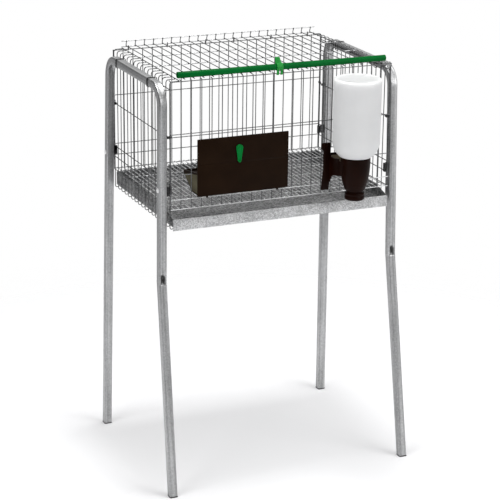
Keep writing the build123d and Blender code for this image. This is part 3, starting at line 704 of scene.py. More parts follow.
# Wire grids
def side_grid():
    """Each upright is one wire: a hook under the tray, a straight run and a bent top under the rim wire."""
    hook_x = hook_low[0] + wire / 2
    hook_z = hook_low[2] + wire / 2
    rim_arm = rim_low[2] + wire / 2
    rim_x = rim_low[0] + wire / 2
    rim_z = rim_high[2] - wire / 2
    hook_bend = (cage_half - hook_x) / 2 - bend_gap
    upright = rod(
        [
            (hook_x, 0, hook_high[2]),
            (hook_x, 0, hook_z),
            (cage_half, 0, hook_z),
            (cage_half, 0, rim_arm),
            (rim_low[0], 0, rim_arm),
        ],
        (hook_bend, hook_bend, rim_bend),
    )
    cross = rod([(0, side_low[1], 0), (0, side_high[1], 0)], across=X)
    levels = [cage_bottom + level for level in side_levels]
    cross_places = [(side_wire_x, 0, level) for level in levels] + [(rim_x, 0, rim_z)]
    welds = np.vstack([
        places([(cage_half + side_wire_x) / 2], side_ys, levels),
        places([rim_x], side_ys, [(rim_arm + rim_z) / 2]),
    ])
    wires = joined(repeated(upright, [(0, y, 0) for y in side_ys]), repeated(cross, cross_places))
    return wires, beads(welds)


side_wires, side_welds = side_grid()
for side, shape, welds in (
    ("right", side_wires, side_welds),
    ("left", mirrored(side_wires), mirrored(side_welds)),
):
    make(f"{side}_wire_side", shape, "stand", "cage_wire", wire_zinc,
         f"{side}_side_panel", f"{side}_rim", f"{side}_tray_hooks", extras=[(welds, weld_zinc)])


def back_grid():
    """Upright wires behind cross wires."""
    upright = rod([(0, back_y, back_low[2]), (0, back_y, back_high[2])])
    levels = [cage_bottom + level for level in back_levels] + [back_top]
    wires = joined(
        repeated(upright, [(x, 0, 0) for x in grid_xs]),
        *[cross_rod(back_high[0], back_wire_y, level) for level in levels],
    )
    return wires, (beads(places(grid_xs, [(back_y + back_wire_y) / 2], levels)), weld_zinc)


def front_grid():
    """Upright wires bent back at the top, cut short for feeder and drinking cup, behind cross wires."""
    cuts = {feeder_cut: cage_bottom + feeder_edge, drinker_cut: cage_bottom + drinker_edge}
    pivot = cage_bottom + front_pivot
    middle = cage_bottom + front_middle

    def upright(bottom):
        corners = [(0, front_y, bottom), (0, front_y, front_top), (0, front_high[1], front_top)]
        return rod(corners, tail_bend, across=X)

    cut = [n for group in cuts for n in group]
    whole = [n for n in range(-half_count, half_count + 1) if n not in cut]
    stub = rod([(0, front_y, front_low[2]), (0, front_y, pivot + wire / 2)])
    shapes = [
        repeated(upright(front_low[2]), [(n * pitch, 0, 0) for n in whole]),
        repeated(stub, [(n * pitch, 0, 0) for n in cut]),
    ]
    levels = (cage_bottom, pivot, cage_bottom + front_upper, front_top - step)
    cross_wires = [cross_rod(front_high[0], front_wire_y, level) for level in levels]
    shapes += cross_wires[2:]
    welded = [(n, level) for n in range(-half_count, half_count + 1) for level in levels]
    spans = [(-half_count, feeder_cut[0] - 1, middle), (feeder_cut[-1] + 1, drinker_cut[0] - 1, middle),
             (drinker_cut[-1] + 1, half_count, middle)]
    for group, edge in cuts.items():
        shapes.append(repeated(upright(edge - wire / 2), [(n * pitch, 0, 0) for n in group]))
        spans.append((group[0] - 1, group[-1] + 1, edge))
    for first, last, level in spans:
        start = (first * pitch - wire / 2, front_wire_y, level)
        shapes.append(rod([start, (last * pitch + wire / 2, front_wire_y, level)]))
        welded += [(n, level) for n in range(first, last + 1)]
    weld_y = (front_y + front_wire_y) / 2
    dots = beads([(n * pitch, weld_y, level) for n, level in welded])
    # The lowest two cross wires take the painted-highlight copy of the wire.
    return joined(*shapes), (joined(*cross_wires[:2]), wire_painted_highlight), (dots, weld_zinc)


def floor_grid():
    """Close wires front to back on a few cross wires."""
    low, high = node_box("floor_grid")
    long_z = high[2] - wire / 2
    cross_z = low[2] + wire / 2
    xs = (np.arange(-2 * half_count, 2 * half_count) + 0.5) * pitch / 2
    rows = np.linspace(front_y + floor_row_inset, back_y - floor_row_inset, floor_rows)
    long_wire = rod([(0, low[1], long_z), (0, high[1], long_z)], across=X)
    wires = joined(
        repeated(long_wire, [(x, 0, 0) for x in xs]),
        *[cross_rod(high[0], y, cross_z) for y in rows],
    )
    return wires, (beads(places(xs, rows, [(long_z + cross_z) / 2])), weld_zinc)


lip_rise = 13.6
lip_lean = radians(25)
lip_drop = 2.0


def lid_grid():
    """Long wires with a rear lip bent up, two cross wires and the hinge wire below, and two on top."""
    long_z = hinge_z + step
    lip_y = hinge_y + step + weld
    lip_top = (0, lip_y - lip_rise * np.tan(lip_lean), long_z + lip_rise)
    long_wire = rod([(0, lid_low[1], long_z), (0, lip_y, long_z), lip_top], lip_bend, across=X)
    rise = lip_rise - lip_drop
    lip_wire_y = lip_y - rise * np.tan(lip_lean) + step * cos(lip_lean)
    lip_wire_z = long_z + rise + step * sin(lip_lean)
    rows = [(front_y + row, hinge_z) for row in lid_rows]
    rows += [(hinge_y, hinge_z), (bar_y, long_z + step), (lip_wire_y, lip_wire_z)]
    xs = np.linspace(-1, 1, lid_spaces + 1) * (lid_high[0] - lid_edge)
    welds = [(y, (z + long_z) / 2) for y, z in rows[:4]]
    welds.append((lip_wire_y - cos(lip_lean), lip_wire_z - sin(lip_lean)))
    long_wires = repeated(long_wire, [(x, 0, 0) for x in xs])
    cross_wires = joined(*[cross_rod(lid_high[0], y, z) for y, z in rows])
    dots = beads([(x, y, z) for x in xs for y, z in welds], lid_bead_radius)
    # The lid's cross wires take the painted-highlight copy of the wire.
    return long_wires, (cross_wires, wire_painted_highlight), (dots, weld_zinc)


for name, grid, body, finish, node in (
    ("back_wire_panel", back_grid, "stand", wire_zinc, "back_panel"),
    ("front_wire_panel", front_grid, "stand", wire_zinc, "front_panel"),
    # The floor wires take the painted-highlight copy of the wire.
    ("floor_wires", floor_grid, "stand", floor_painted_light_zinc, "floor_grid"),
    ("lid_wires", lid_grid, "lid", lid_zinc, "lid_grid"),
):
    shape, *extras = grid()
    make(name, shape, body, "cage_wire", finish, node, extras=extras)


# Clips
def both_sides(shape):
    """A shape on the right and its mirror image on the left."""
    return joined(shape, mirrored(shape))


corner_fit = 0.15
corner_gap = 0.3
corner_spans = ((38.0, 58.6), (174.2, 178.2))
leg_clip_short = 3.0
leg_clip_long = 19.0
leg_clip_half = 4.5
leg_clip_edge = 0.7
leg_clip_corners = (1.2, 0.6, 0.3, 1.0, 1.0, 0.3, 0.6, 1.2)
screw_head = 2.6
screw_sides = 24
tube_clip_wide = 3.0
tube_clip_bend = 4.2
tube_clip_spaces = 3.5
ring_radius = 0.8
ring_fit = 0.3
ring_flat = 1.25
ring_places = (-9.5, -5.5, -1.5, 1.5, 5.5, 9.5)
side_space = side_ys[1] - side_ys[0]


def bent_strip(path, across, wide, closed=False):
    """Strip of rounded section carried along a path."""
    section = rectangle(strip / 2, wide / 2, strip_corner, 2)
    return skin(carry(section, path, across, closed), closed)


def corner_clips():
    """Strip bent round the last upright of a side and its neighbour, with its ends meeting on the outside."""
    bend = wire / 2 + corner_fit + strip / 2
    shapes = []
    for side_y, end_y in ((side_ys[0], front_y), (side_ys[-1], back_y)):
        reach = abs(end_y - side_y) / 2 + bend
        corners = np.array([
            (bend, corner_gap, 0), (bend, reach, 0), (-bend, reach, 0),
            (-bend, -reach, 0), (bend, -reach, 0), (bend, -corner_gap, 0),
        ])
        loop = rounded(corners + (cage_half, (side_y + end_y) / 2, 0), bend - bend_gap, 6)
        for low, high in corner_spans:
            clip = bent_strip(loop, Z, high - low)
            shapes.append(repeated(clip, [(0, 0, cage_bottom + (low + high) / 2)]))
    return both_sides(joined(*shapes))


def leg_clips(node):
    """Blocks against the legs, each slotted from outside for a cross wire. Below, the front ones reach up
    from the low wire and the back ones down from the middle wire."""
    solid = right_points(node)
    slot = wire / 2 + corner_fit
    slot_in = side_wire_x - slot
    front_level, back_level = side_levels[1:3]
    reach = leg_clip_long
    if node == "upper_leg_clips":
        front_level = back_level = side_levels[3]
        reach = leg_clip_short
    shapes = []
    for y, level, down, up in (
        (side_ys[0] + side_space / 2, cage_bottom + front_level, leg_clip_short, reach),
        (side_ys[-1] - side_space / 2, cage_bottom + back_level, reach, leg_clip_short),
    ):
        mine = solid[abs(solid[:, 1] - y) < leg_clip_half + 1]
        inner, outer = mine[:, 0].min(), mine[:, 0].max()
        corners = [
            (inner, level - down), (outer, level - down), (outer, level - slot), (slot_in, level - slot),
            (slot_in, level + slot), (outer, level + slot), (outer, level + up), (inner, level + up),
        ]
        outline = rounded_loop(corners, leg_clip_corners, 3)
        shapes.append(block(outline, y - leg_clip_half, y + leg_clip_half, 1, leg_clip_edge))
    return both_sides(joined(*shapes))


def leg_screws():
    """Domed screw heads on the legs' outer faces, each with a round dimple and a shank into the tube:
    a profile of radius and height, turned about the face's normal."""
    solid = right_points("leg_screws")
    normal = np.array([cos(frame_tilt), 0, sin(frame_tilt)])
    upward = np.cross(normal, Y)
    profile = np.array([
        (1.9, -9.0), (2.0, -8.4), (2.0, 0.0), (5.8, 0.0), (6.0, 0.35), (5.7, 1.1), (4.8, 1.8), (3.4, 2.3),
        (2.1, 2.5), (1.7, 2.3), (1.4, 1.4), (0.5, 1.2),
    ])
    turn = 2 * pi * np.arange(screw_sides) / screw_sides
    spoke = np.cos(turn)[:, None] * Y + np.sin(turn)[:, None] * upward
    shapes = []
    for mine in (solid[solid[:, 1] < 0], solid[solid[:, 1] > 0]):
        far = mine @ normal
        base = mine[far > far.max() - 0.1].mean(axis=0) - screw_head * normal
        shapes.append(skin(base + profile[:, :1, None] * spoke + profile[:, 1:, None] * normal))
    return both_sides(joined(*shapes))


def tube_clips():
    """Strip loops round the top tube and the cross wire beside it."""
    low, high = node_box("tube_clips")
    outer, inner = high[0] - strip / 2, side_wire_x - wire / 2 - corner_fit - strip / 2
    bottom, top = low[2] + strip / 2, high[2] - strip / 2
    corners = [(outer, 0, bottom), (outer, 0, top), (inner, 0, top), (inner, 0, bottom)]
    clip = bent_strip(rounded_loop(corners, tube_clip_bend, 6), Y, tube_clip_wide, closed=True)
    inset_y = tube_clip_spaces * side_space
    return both_sides(repeated(clip, [(0, side_ys[0] + inset_y, 0), (0, side_ys[-1] - inset_y, 0)]))


def hinge_rings():
    """Oval links round the back panel's top wire and the lid's rear wire."""
    lower, upper = np.array([(back_wire_y, back_top), (hinge_y, hinge_z)])
    radius = wire / 2 + ring_fit + ring_radius
    lean = np.degrees(np.arctan2(*(upper - lower)[::-1]))
    loop = np.vstack([
        arc(lower, radius, lean + 90, lean + 270, 10),
        arc(upper, radius, lean - 90, lean + 90, 10),
    ])
    path = np.column_stack([np.zeros(len(loop)), loop])
    link = skin(carry(circle(ring_radius, 8) * (1, ring_flat), path, X, closed=True), closed=True)
    return repeated(link, [(place * pitch, 0, 0) for place in ring_places])


make("corner_strips", corner_clips(), "stand", "clip_steel", clip_steel, "corner_clips")
for level in ("lower", "upper"):
    node = f"{level}_leg_clips"
    make(f"{level}_leg_blocks", leg_clips(node), "stand", "clip_steel", clip_steel, node)
make("tube_loops", tube_clips(), "stand", "clip_steel", clip_steel, "tube_clips")
make("leg_screw_heads", leg_screws(), "stand", "screw_steel", screw_steel, "leg_screws")
make("hinge_links", hinge_rings(), "stand", "clip_steel", ring_steel, "hinge_rings")

# Bar and latch
bar_wall = 2.2
bar_slit = 1.2
plastic_edge = 0.5
latch_wall = 2.2
latch_fit = 0.3
latch_gap = 4.0
latch_bridge_lap = 0.6
latch_turns = (-5, 250)
bridge_turns = (-5, 222)
prong_gap = 0.8
nose_gap = 0.4
nose_high = 1.7
lever_lean = radians(63)
lever_reach = 23.6
lever_half_thick = 1.7
lever_taper = (0.3, 1.9)
lever_tip = (0.9, 1.5)
lever_tip_share = 0.9
lever_corner = 0.35
lever_gap = 0.2
prong_roots = (3.2, 6.3)


def bar():
    """A slit tube: an outer arc and an inner arc, open below for the lid's front wire."""
    inner = bar_radius - bar_wall
    out_gap = np.degrees(np.arcsin(bar_slit / bar_radius))
    in_gap = np.degrees(np.arcsin(bar_slit / inner))
    axis = (bar_y, bar_z)
    outline = np.vstack([
        arc(axis, bar_radius, -90 + out_gap, 270 - out_gap, 44),
        arc(axis, inner, 270 - in_gap, -90 + in_gap, 36),
    ])
    return block(outline, bar_low[0], bar_high[0], 0, plastic_edge)


def latch():
    """A clip round the bar, a tapered lever that leans back, and two hooked prongs with a gap between.
    The lever's half width and thickness fall evenly along it, and by a square near its tip."""
    low, high = node_box("lid_latch")
    inner = bar_radius + latch_fit
    outer = inner + latch_wall
    width = (high[0] - low[0] - latch_gap) / 2
    starts = (low[0], high[0] - width)

    def ring(first, last):
        axis = (bar_y, bar_z)
        return np.vstack([arc(axis, outer, first, last, 36), arc(axis, inner, last, first, 30)])

    shapes = [block(ring(*latch_turns), start, start + width, 0, plastic_edge) for start in starts]
    bridge = (low[0] + width - latch_bridge_lap, high[0] - width + latch_bridge_lap)
    shapes.append(block(ring(*bridge_turns), *bridge, 0, 0.05))
    prong_in = front_wire_y - wire / 2 - prong_gap
    prong_out, hook_in = prong_in - latch_wall, prong_in + latch_wall
    nose_top = front_top - step - wire / 2 - nose_gap
    nose_low = nose_top - nose_high
    corners = [
        (prong_out, bar_z - prong_roots[0]), (prong_out, nose_low), (hook_in, nose_low),
        (hook_in, nose_top), (prong_in, nose_top), (prong_in, bar_z - prong_roots[1]),
    ]
    prong = rounded_loop(corners, (0, 0.9, 0.7, 0.5, 0.5, 0), 3)
    shapes += [block(prong, start, start + width, 0, plastic_edge) for start in starts]
    share = np.array([0, 0.3, 0.6, 0.85, 0.95, 0.99, 1.0])
    tip = np.clip((share - lever_tip_share) / (1 - lever_tip_share), 0, 1) ** 2
    halves = np.array([lever_half_thick, (high[0] - low[0]) / 2])
    halves = halves - np.outer(share, lever_taper) - np.outer(tip, lever_tip)
    out = np.array([0, cos(lever_lean), sin(lever_lean)])
    root = np.array([(low[0] + high[0]) / 2, bar_y, bar_z]) + out * (inner + lever_gap)
    path = root + out * (lever_reach - inner) * share[:, None]
    profile = rectangle(1, 1, lever_corner, 3) * halves[:, None]
    return joined(skin(carry(profile, path, X)), *shapes)


make("green_bar", bar(), "lid", "bar_green", bar_green, "lid_bar")
make("green_latch", latch(), "latch", "latch_green", latch_green, "lid_latch")

# Tray
pan_rise = 8.3
lip_height = 28.0
lip_hem = 2.1
lip_hem_high = 6.5
tray_knee = 60.0
tray_fold = 1.6
rim_hem = 2.0
rim_hem_deep = 5.0


def tray():
    """A front lip with a hem along its lower edge, and a folded pan with a hem round its rim. The pan's
    upper points at the front come down to the lip, so its side walls slope as far as the knee."""
    low, high = node_box("tray")
    face, front, back = low[1], low[1] + sheet, high[1]
    floor_z, lip_top, top = low[2] + pan_rise, low[2] + lip_height, high[2]
    half_x, half_y = high[0], (back - front) / 2
    inside = floor_z + sheet
    rows = [(tray_fold, 1.0, floor_z)] + fold_rows(tray_fold, 2.0, floor_z, [30, 60, 90])
    rows += [
        (0.0, 2.0, top - 0.8), (0.3, 2.0, top - 0.2), (1.0, 1.6, top), (rim_hem - 0.3, 1.4, top - 0.2),
        (rim_hem, 1.2, top - 0.8), (rim_hem, 1.2, top - rim_hem_deep), (sheet, 1.4, top - rim_hem_deep - 0.3),
        (sheet, 1.4, inside + tray_fold), (sheet + 0.5, 1.2, inside + 0.5), (sheet + tray_fold, 1.0, inside),
    ]
    points, faces = pan(half_x, half_y, rows, (0, (front + back) / 2), tray_knee - half_y)
    ahead = points[:, 1] < front + tray_knee / 2
    upper = points[:, 2] > top - rim_hem_deep - 1.0
    points[ahead & upper, 2] -= top - lip_top
    hem_y, hem_z = face + lip_hem, low[2] + lip_hem_high
    corners = [
        (face, low[2]), (hem_y, low[2]), (hem_y, hem_z),
        (front, hem_z), (front, lip_top), (face, lip_top),
    ]
    lip = rounded_loop(corners, (1.0, 0.9, 0.4, 0, 0.3, 0.5), 3)
    return block(lip, -half_x, half_x, 0, 0.3), (points, faces)


tray_lip, tray_pan = tray()
# The pan takes the painted-shade copy of the sheet; the lip takes the plain sheet.
make("sheet_tray", tray_lip, "tray", "tray_sheet", sheet_zinc, "tray", extras=[(tray_pan, pan_painted_shade_zinc)])

# Feeder and its thumb grip
feeder_wall = 2.5
feeder_skin = 4.5
plate_low = cage_bottom + 27.0
plate_crease = cage_bottom + 104.0
plate_corner = 1.4
trough_floor = cage_bottom + 30.0
trough_rim = cage_bottom + 64.0
trough_band = cage_bottom + 71.0
trough_end = cage_bottom + 84.0
trough_deep = 36.0
trough_reach = 88.0
trough_inset = 1.0
trough_bends = (7.0, 3.0, 1.0)
reflection_thick = 0.4
lug_radius = 1.9
lug_fit = 0.3
lug_half = 2.5
neck_half = 1.7
neck_lap = 1.2
lug_spaces = 3.5


def feeder():
    """A front plate with a crease, a trough behind it, closed ends, and two lugs on the pivot wire. Also
    gives thin plates on the ends' outer faces, which carry a lighter painted reflection."""
    low, high = node_box("feeder")
    face, back, top = low[1], low[1] + feeder_skin, high[2]
    foot_y, rim_y = back + trough_deep, back + trough_reach
    start_y, rim_in = face + trough_inset, rim_y - feeder_wall
    corners = [
        (face, plate_low), (back, plate_low), (back, top), (face, top), (face, plate_crease + 1.3),
        (face + 1.1, plate_crease + 0.5), (face, plate_crease - 2.2),
    ]
    plate = rounded_loop(corners, [plate_corner] * 4 + [0.3] * 3, 4)
    slope = (rim_y - foot_y) / (trough_rim - trough_floor)
    foot_in = foot_y + feeder_wall * (slope - hypot(1, slope))
    inside = trough_floor + feeder_wall
    outside = [(start_y, trough_floor), (foot_y, trough_floor), (rim_y, trough_rim), (rim_y, trough_band)]
    back_down = [(rim_in, trough_band), (rim_in, trough_rim + 1.4), (foot_in, inside), (start_y, inside)]
    trough = rounded_loop(outside + back_down, (0, *trough_bends, 1.0, 1.5, 5.0, 0), 5)
    end = rounded_loop(outside + [(start_y, trough_end)], (0, *trough_bends, 0), 5)
    # Painted reflection: thin plates on the ends' outer faces.
    reflection_low = trough_floor + 3.0
    reflection_corners = [
        (back, reflection_low), (foot_y - 2.0, reflection_low), (rim_y - 7.0, trough_rim - 1.0), (back, trough_end - 4.0),
    ]
    reflection_outline = rounded_loop(reflection_corners, (0, 5.0, 1.5, 0), 5)
    left, right = low[0] + trough_inset, high[0] - trough_inset
    shapes = [block(plate, low[0], high[0], 0, 1.2), block(trough, left, right, 0, 0.6)]
    shapes += [block(end, x, x + feeder_wall, 0, 0.5) for x in (left, right - feeder_wall)]
    reflection_faces = [block(reflection_outline, x, x + reflection_thick, 0, 0.1) for x in (left - 0.3, right - 0.1)]
    y, z = front_wire_y, cage_bottom + front_pivot
    lug = np.vstack([arc((y, z), lug_radius, -55, 235, 24), arc((y, z), wire / 2 + lug_fit, 225, -45, 16)])
    neck_low, neck_high = z + neck_lap, trough_floor + neck_lap
    neck = [
        (y - neck_half, neck_low), (y + neck_half, neck_low),
        (y + neck_half, neck_high), (y - neck_half, neck_high),
    ]
    middle = (low[0] + high[0]) / 2
    for x in (middle - lug_spaces * pitch, middle + lug_spaces * pitch):
        shapes += [block(part, x - lug_half, x + lug_half, 0, 0.4) for part in (lug, neck)]
    return joined(*shapes), joined(*reflection_faces)


grip_high = 5.0
grip_narrow = 3.6
peg_radius = 3.0


def grip():
    """A dished, tapered grip: each ring goes round a large and a small circle, drawn in by steps."""
    low, high = node_box("feeder_grip")
    x = (low[0] + high[0]) / 2
    plate_face = low[1] + grip_high
    wide = (high[0] - low[0]) / 2
    upper, lower = high[2] - wide, low[2] + grip_narrow
    lean = np.degrees(np.arcsin((wide - grip_narrow) / (upper - lower)))
    rings = []
    for inward, height in (
        (0, -0.6), (0, 3.6), (0.25, 4.5), (0.8, grip_high), (1.3, 4.9),
        (1.8, 4.4), (2.2, 3.5), (2.6, 3.0), (3.1, 2.8),
    ):
        outline = np.vstack([
            arc((x, upper), wide - inward, -lean, 180 + lean, 20),
            arc((x, lower), grip_narrow - inward, 180 + lean, 360 - lean, 12),
        ])
        rings.append(np.insert(outline, 1, plate_face - height, axis=1))
    peg_path = np.array([(x, plate_face - 1.0, upper), (x, plate_face + feeder_skin - 0.2, upper)])
    return joined(skin(np.stack(rings)), skin(carry(circle(peg_radius, 16), peg_path, X)))


feeder_shape, feeder_ends = feeder()
make("brown_feeder", feeder_shape, "feeder", "feeder_brown", feeder_brown, "feeder",
     extras=[(feeder_ends, feeder_painted_reflection)])
make("thumb_grip", grip(), "feeder", "latch_green", grip_green, "feeder_grip")

# Drinker
cap_low, cap_high = node_box("drinker_cap")
drinker_axis = ((cap_low[0] + cap_high[0]) / 2, (cap_low[1] + cap_high[1]) / 2)
base_low, base_high = node_box("drinker_base")
cap_lift = 4.5
cap_socket = 19.8
bowl_foot = cage_bottom + 22.0
bowl_shoulder = cage_bottom + 60.0
bowl_rim = cage_bottom + 103.0
bowl_radius = 24.0
bowl_swell = 12.0
bowl_rings = 20
bowl_ring_deep = 0.4
bowl_ring_share = 0.25
cup_x = 6 * pitch
cup_half = 32.0
cup_low = cage_bottom + 48.0
cup_high = cage_bottom + 93.0
cup_wall = 2.5
cup_fold = 5.0
cup_slope = 0.2
cup_level = 45.0
cup_left = cup_x - cup_half
fin_low = cage_bottom + 9.0
fin_high = cage_bottom + 127.0
fin_thick = 4.0
fin_gap = 0.4
fin_back = front_wire_y - wire / 2 - fin_gap
fin_face = fin_back - fin_thick
hook_gap = 0.3
hook_half = 7.0
hook_thick = 3.0
hook_drop = 10.0
hook_roof = 6.0


def tilted(shape, low=None, high=None):
    """A shape that drops towards the cage: height falls evenly with depth, or falls in full only at the
    low level and not at all at the high one."""
    points, faces = shape
    drop = cup_slope * (points[:, 1] - drinker_axis[1] - cup_level)
    if high:
        drop = drop * (high - points[:, 2]) / (high - low)
    return points - drop[:, None] * Z, faces


def bowl():
    """A turned bowl: its radius swells as a power of the height, with a sine wave of rings at its foot."""
    spigot = base_low[2] + cap_lift
    share = np.linspace(0, 1, 61)
    radius = bowl_radius + bowl_swell * (1 - (1 - share) ** 2.8)
    radius += bowl_ring_deep * np.sin(share * 2 * pi * bowl_rings) * (share < bowl_ring_share)
    height = bowl_foot + (bowl_rim - 1.0 - bowl_foot) * share
    profile = np.vstack([
        [
            (15.5, spigot), (19.0, spigot), (19.5, spigot + 0.5),
            (19.5, bowl_foot - 1.5), (21.0, bowl_foot - 0.6),
        ],
        np.column_stack([radius, height]),
        [
            (35.7, bowl_rim - 0.3), (35.2, bowl_rim), (31.2, bowl_rim), (30.5, bowl_rim - 0.7),
            (29.9, bowl_shoulder), (27.0, bowl_foot + 18), (21.0, bowl_foot + 2.5), (15.5, bowl_foot + 2.5),
        ],
    ])
    return turned(profile, drinker_axis, closed=True)


def cup():
    """A pan that drops towards the cage, and a thin pale tan film inside it."""
    half_y = (base_high[1] - drinker_axis[1]) / 2
    middle = (cup_x, (base_high[1] + drinker_axis[1]) / 2)
    wall, inside = cup_wall, cup_low + cup_wall
    rows = [(cup_fold, 4.0, cup_low)] + fold_rows(cup_fold, 8.0, cup_low, [22.5, 45, 67.5, 90])
    rows += [
        (0.0, 8.0, cup_high - 0.7), (0.7, 7.5, cup_high), (wall - 0.7, 6.5, cup_high),
        (wall, 6.0, cup_high - 0.7), (wall, 6.0, inside + 3), (wall + 1, 5.0, inside + 1),
        (wall + 3, 4.0, inside),
    ]
    film_low, film_high = inside + 0.1, cup_high - 5.0
    film = [
        (wall + 3.1, 4.0, film_low), (wall + 1.1, 5.0, film_low + 1.0), (wall + 0.1, 6.0, film_low + 3.0),
        (wall + 0.1, 6.0, film_high), (wall + 0.5, 6.0, film_high), (wall + 0.5, 6.0, film_low + 3.2),
        (wall + 1.5, 5.0, film_low + 1.3), (wall + 3.4, 4.0, film_low + 0.4),
    ]
    return [tilted(pan(cup_half, half_y, each, middle), cup_low, cup_high) for each in (rows, film)]


def fin():
    """A waisted plate with a thicker head, and a web from the bowl to it with hollow corners."""
    outline = [
        (-21.5, fin_low), (-1.0, fin_low), (1.1, fin_low + 34), (1.1, fin_high), (-22.5, fin_high),
        (-22.5, fin_high - 15), (-16.5, fin_high - 21), (-16.5, fin_low + 50),
    ]
    plate = rounded_loop(outline, (2.5, 2.5, 20, 3.5, 4.5, 4.5, 5.0, 30), 5) + (cup_left, 0)
    head = rectangle(8.5, 6.7, 5.0) + (cup_left - 14.5, fin_high - 7.3)
    front, back = drinker_axis[1] + 12, fin_back - 0.2
    web = np.vstack([
        [(front, cup_low + 1.0)],
        arc((back - 25, cup_low - 20), 21.0, 90, 10, 8),
        [(back, cup_low - 17), (back, cup_high + 9)],
        arc((back - 13, cup_high + 7.5), 8.5, 0, -90, 8),
        [(front, cup_high - 1.0)],
    ])
    return joined(
        block(plate, fin_face, fin_back, 1, 1.0),
        block(head, fin_face - 1.8, fin_back, 1, 1.4),
        tilted(block(web, cup_left - 0.5, cup_left + 2.7, 0, 0.8)),
    )


def drinker_hook(level):
    """A hook over a cross wire of the front grid."""
    root, tail = fin_back - 1.0, front_wire_y + wire / 2 + hook_gap
    end = tail + hook_thick
    roof = cage_bottom + level + wire / 2 + hook_gap
    corners = [
        (root, roof), (tail, roof), (tail, roof - hook_drop), (end, roof - hook_drop),
        (end, roof + hook_roof), (root, roof + hook_roof),
    ]
    middle = 4.5 * pitch
    outline = rounded_loop(corners, (0, 0.3, 0.8, 1.2, 3.0, 0), 4)
    return block(outline, middle - hook_half, middle + hook_half, 0, 0.6)


def drinker_cap():
    """A turned cup with a rounded foot, a groove under its rim and a socket for the spigot."""
    edge = (cap_high[0] - cap_low[0]) / 2
    low, high = cap_low[2] + cap_lift, cap_high[2]
    profile = [
        (3.0, low + 0.6), (12.0, low + 0.4), (edge - 4.0, low), (edge - 2.0, low + 0.35),
        (edge - 0.7, low + 1.4), (edge - 0.1, low + 3.0), (edge, low + 5.5), (edge - 0.2, high - 9.0),
        (edge - 1.2, high - 7.6), (edge - 1.2, high - 6.6), (edge - 0.5, high - 5.6),
        (edge - 0.6, high - 1.6), (edge - 1.4, high - 0.3), (edge - 2.2, high), (cap_socket + 0.4, high),
        (cap_socket, high - 0.5), (cap_socket, low + 4.3), (3.0, low + 4.0),
    ]
    return turned(profile, drinker_axis)


bottle_wall = 2.0
bottle_edge = 5.0
bottle_rim = 9.0
bottle_dish = 1.2
bottle_seat = bowl_rim + 0.3
bottle_seat_radius = 36.5
bottle_shoulder = bowl_rim + 40.3
bottle_neck = 18.0
neck_bead = 0.7


def bottle():
    """A turned bottle, neck down: inner wall down to the mouth, then out and up the outer wall. The
    shoulder is an arc that meets the straight wall smoothly, and the neck has a bead."""
    low, high = node_box("drinker_bottle")
    radius = (high[0] - low[0]) / 2
    mouth, top = low[2], high[2]
    wall, seat, turn_z, neck = bottle_wall, bottle_seat, bottle_shoulder, bottle_neck
    rim, dish = radius - bottle_rim, top - bottle_dish
    drop, draw = turn_z - seat, radius - bottle_seat_radius
    round_r = (draw ** 2 + drop ** 2) / (2 * draw)
    sweep = -np.degrees(np.arcsin(drop / round_r))
    shoulder_axis = (radius - round_r, turn_z)
    bead = np.linspace(8, 24, 33)
    outer = np.vstack([
        [(neck - 0.6, mouth), (neck, mouth + 0.6)],
        np.column_stack([neck + neck_bead * hump(bead, 16, 8), mouth + bead]),
        [(neck, seat - 3.0), (neck + 1.0, seat - 0.8), (neck + 3.0, seat), (bottle_seat_radius - 4.0, seat)],
        arc(shoulder_axis, round_r, sweep, 0, 16)[1:],
        [(radius, turn_z + 30), (radius, top - 40), (radius, top - 14)],
        arc((radius - bottle_edge, top - bottle_edge), bottle_edge, 0, 90, 7),
        [(rim + 1.2, top), (rim, top - 0.15), (rim - 3.0, top - 0.7)],
        [(rim - 5.5, dish), (14.0, dish), (4.0, dish)],
    ])
    inner = np.vstack([
        [(4.0, dish - wall), (rim - 6, dish - wall), (radius - 6, top - 8), (radius - wall, top - 16)],
        [(radius - wall, turn_z)],
        arc(shoulder_axis, round_r - wall, 0, sweep, 12)[1:],
        [(neck - wall + 2, seat + wall), (neck - wall, seat), (neck - wall, mouth)],
    ])
    return turned(np.vstack([inner, outer]), drinker_axis, around=96)


cup_shape, pale_film = cup()
hooks = [drinker_hook(level) for level in (front_pivot, drinker_edge)]
make("brown_drinker", joined(bowl(), cup_shape, fin(), *hooks), "drinker", "drinker_brown", drinker_brown,
     "drinker_base", extras=[(pale_film, cup_pale_film)])
make("brown_drinker_foot", drinker_cap(), "drinker", "drinker_brown", drinker_brown, "drinker_cap")
make("white_bottle", bottle(), "bottle", "bottle_white", bottle_white, "drinker_bottle")

# Stage: pale floor, white surroundings and soft lamps
floor_half = 30.0
floor_grey = (0.82, 0.82, 0.83, 1)
floor_lift = 0.18
white = (1, 1, 1, 1)
ambient = 0.45
room = 0.22
behind = Vector((0.4, 0.9, 0)).normalized()


def rays(tree):
    """1 for rays that the camera sees straight or through glass, and 1 for rays of reflections."""
    ray = add(tree, "LightPath").outputs
    seen = math(tree, "MAXIMUM", ray["Is Camera Ray"], ray["Is Transmission Ray"])
    return seen, ray["Is Glossy Ray"]


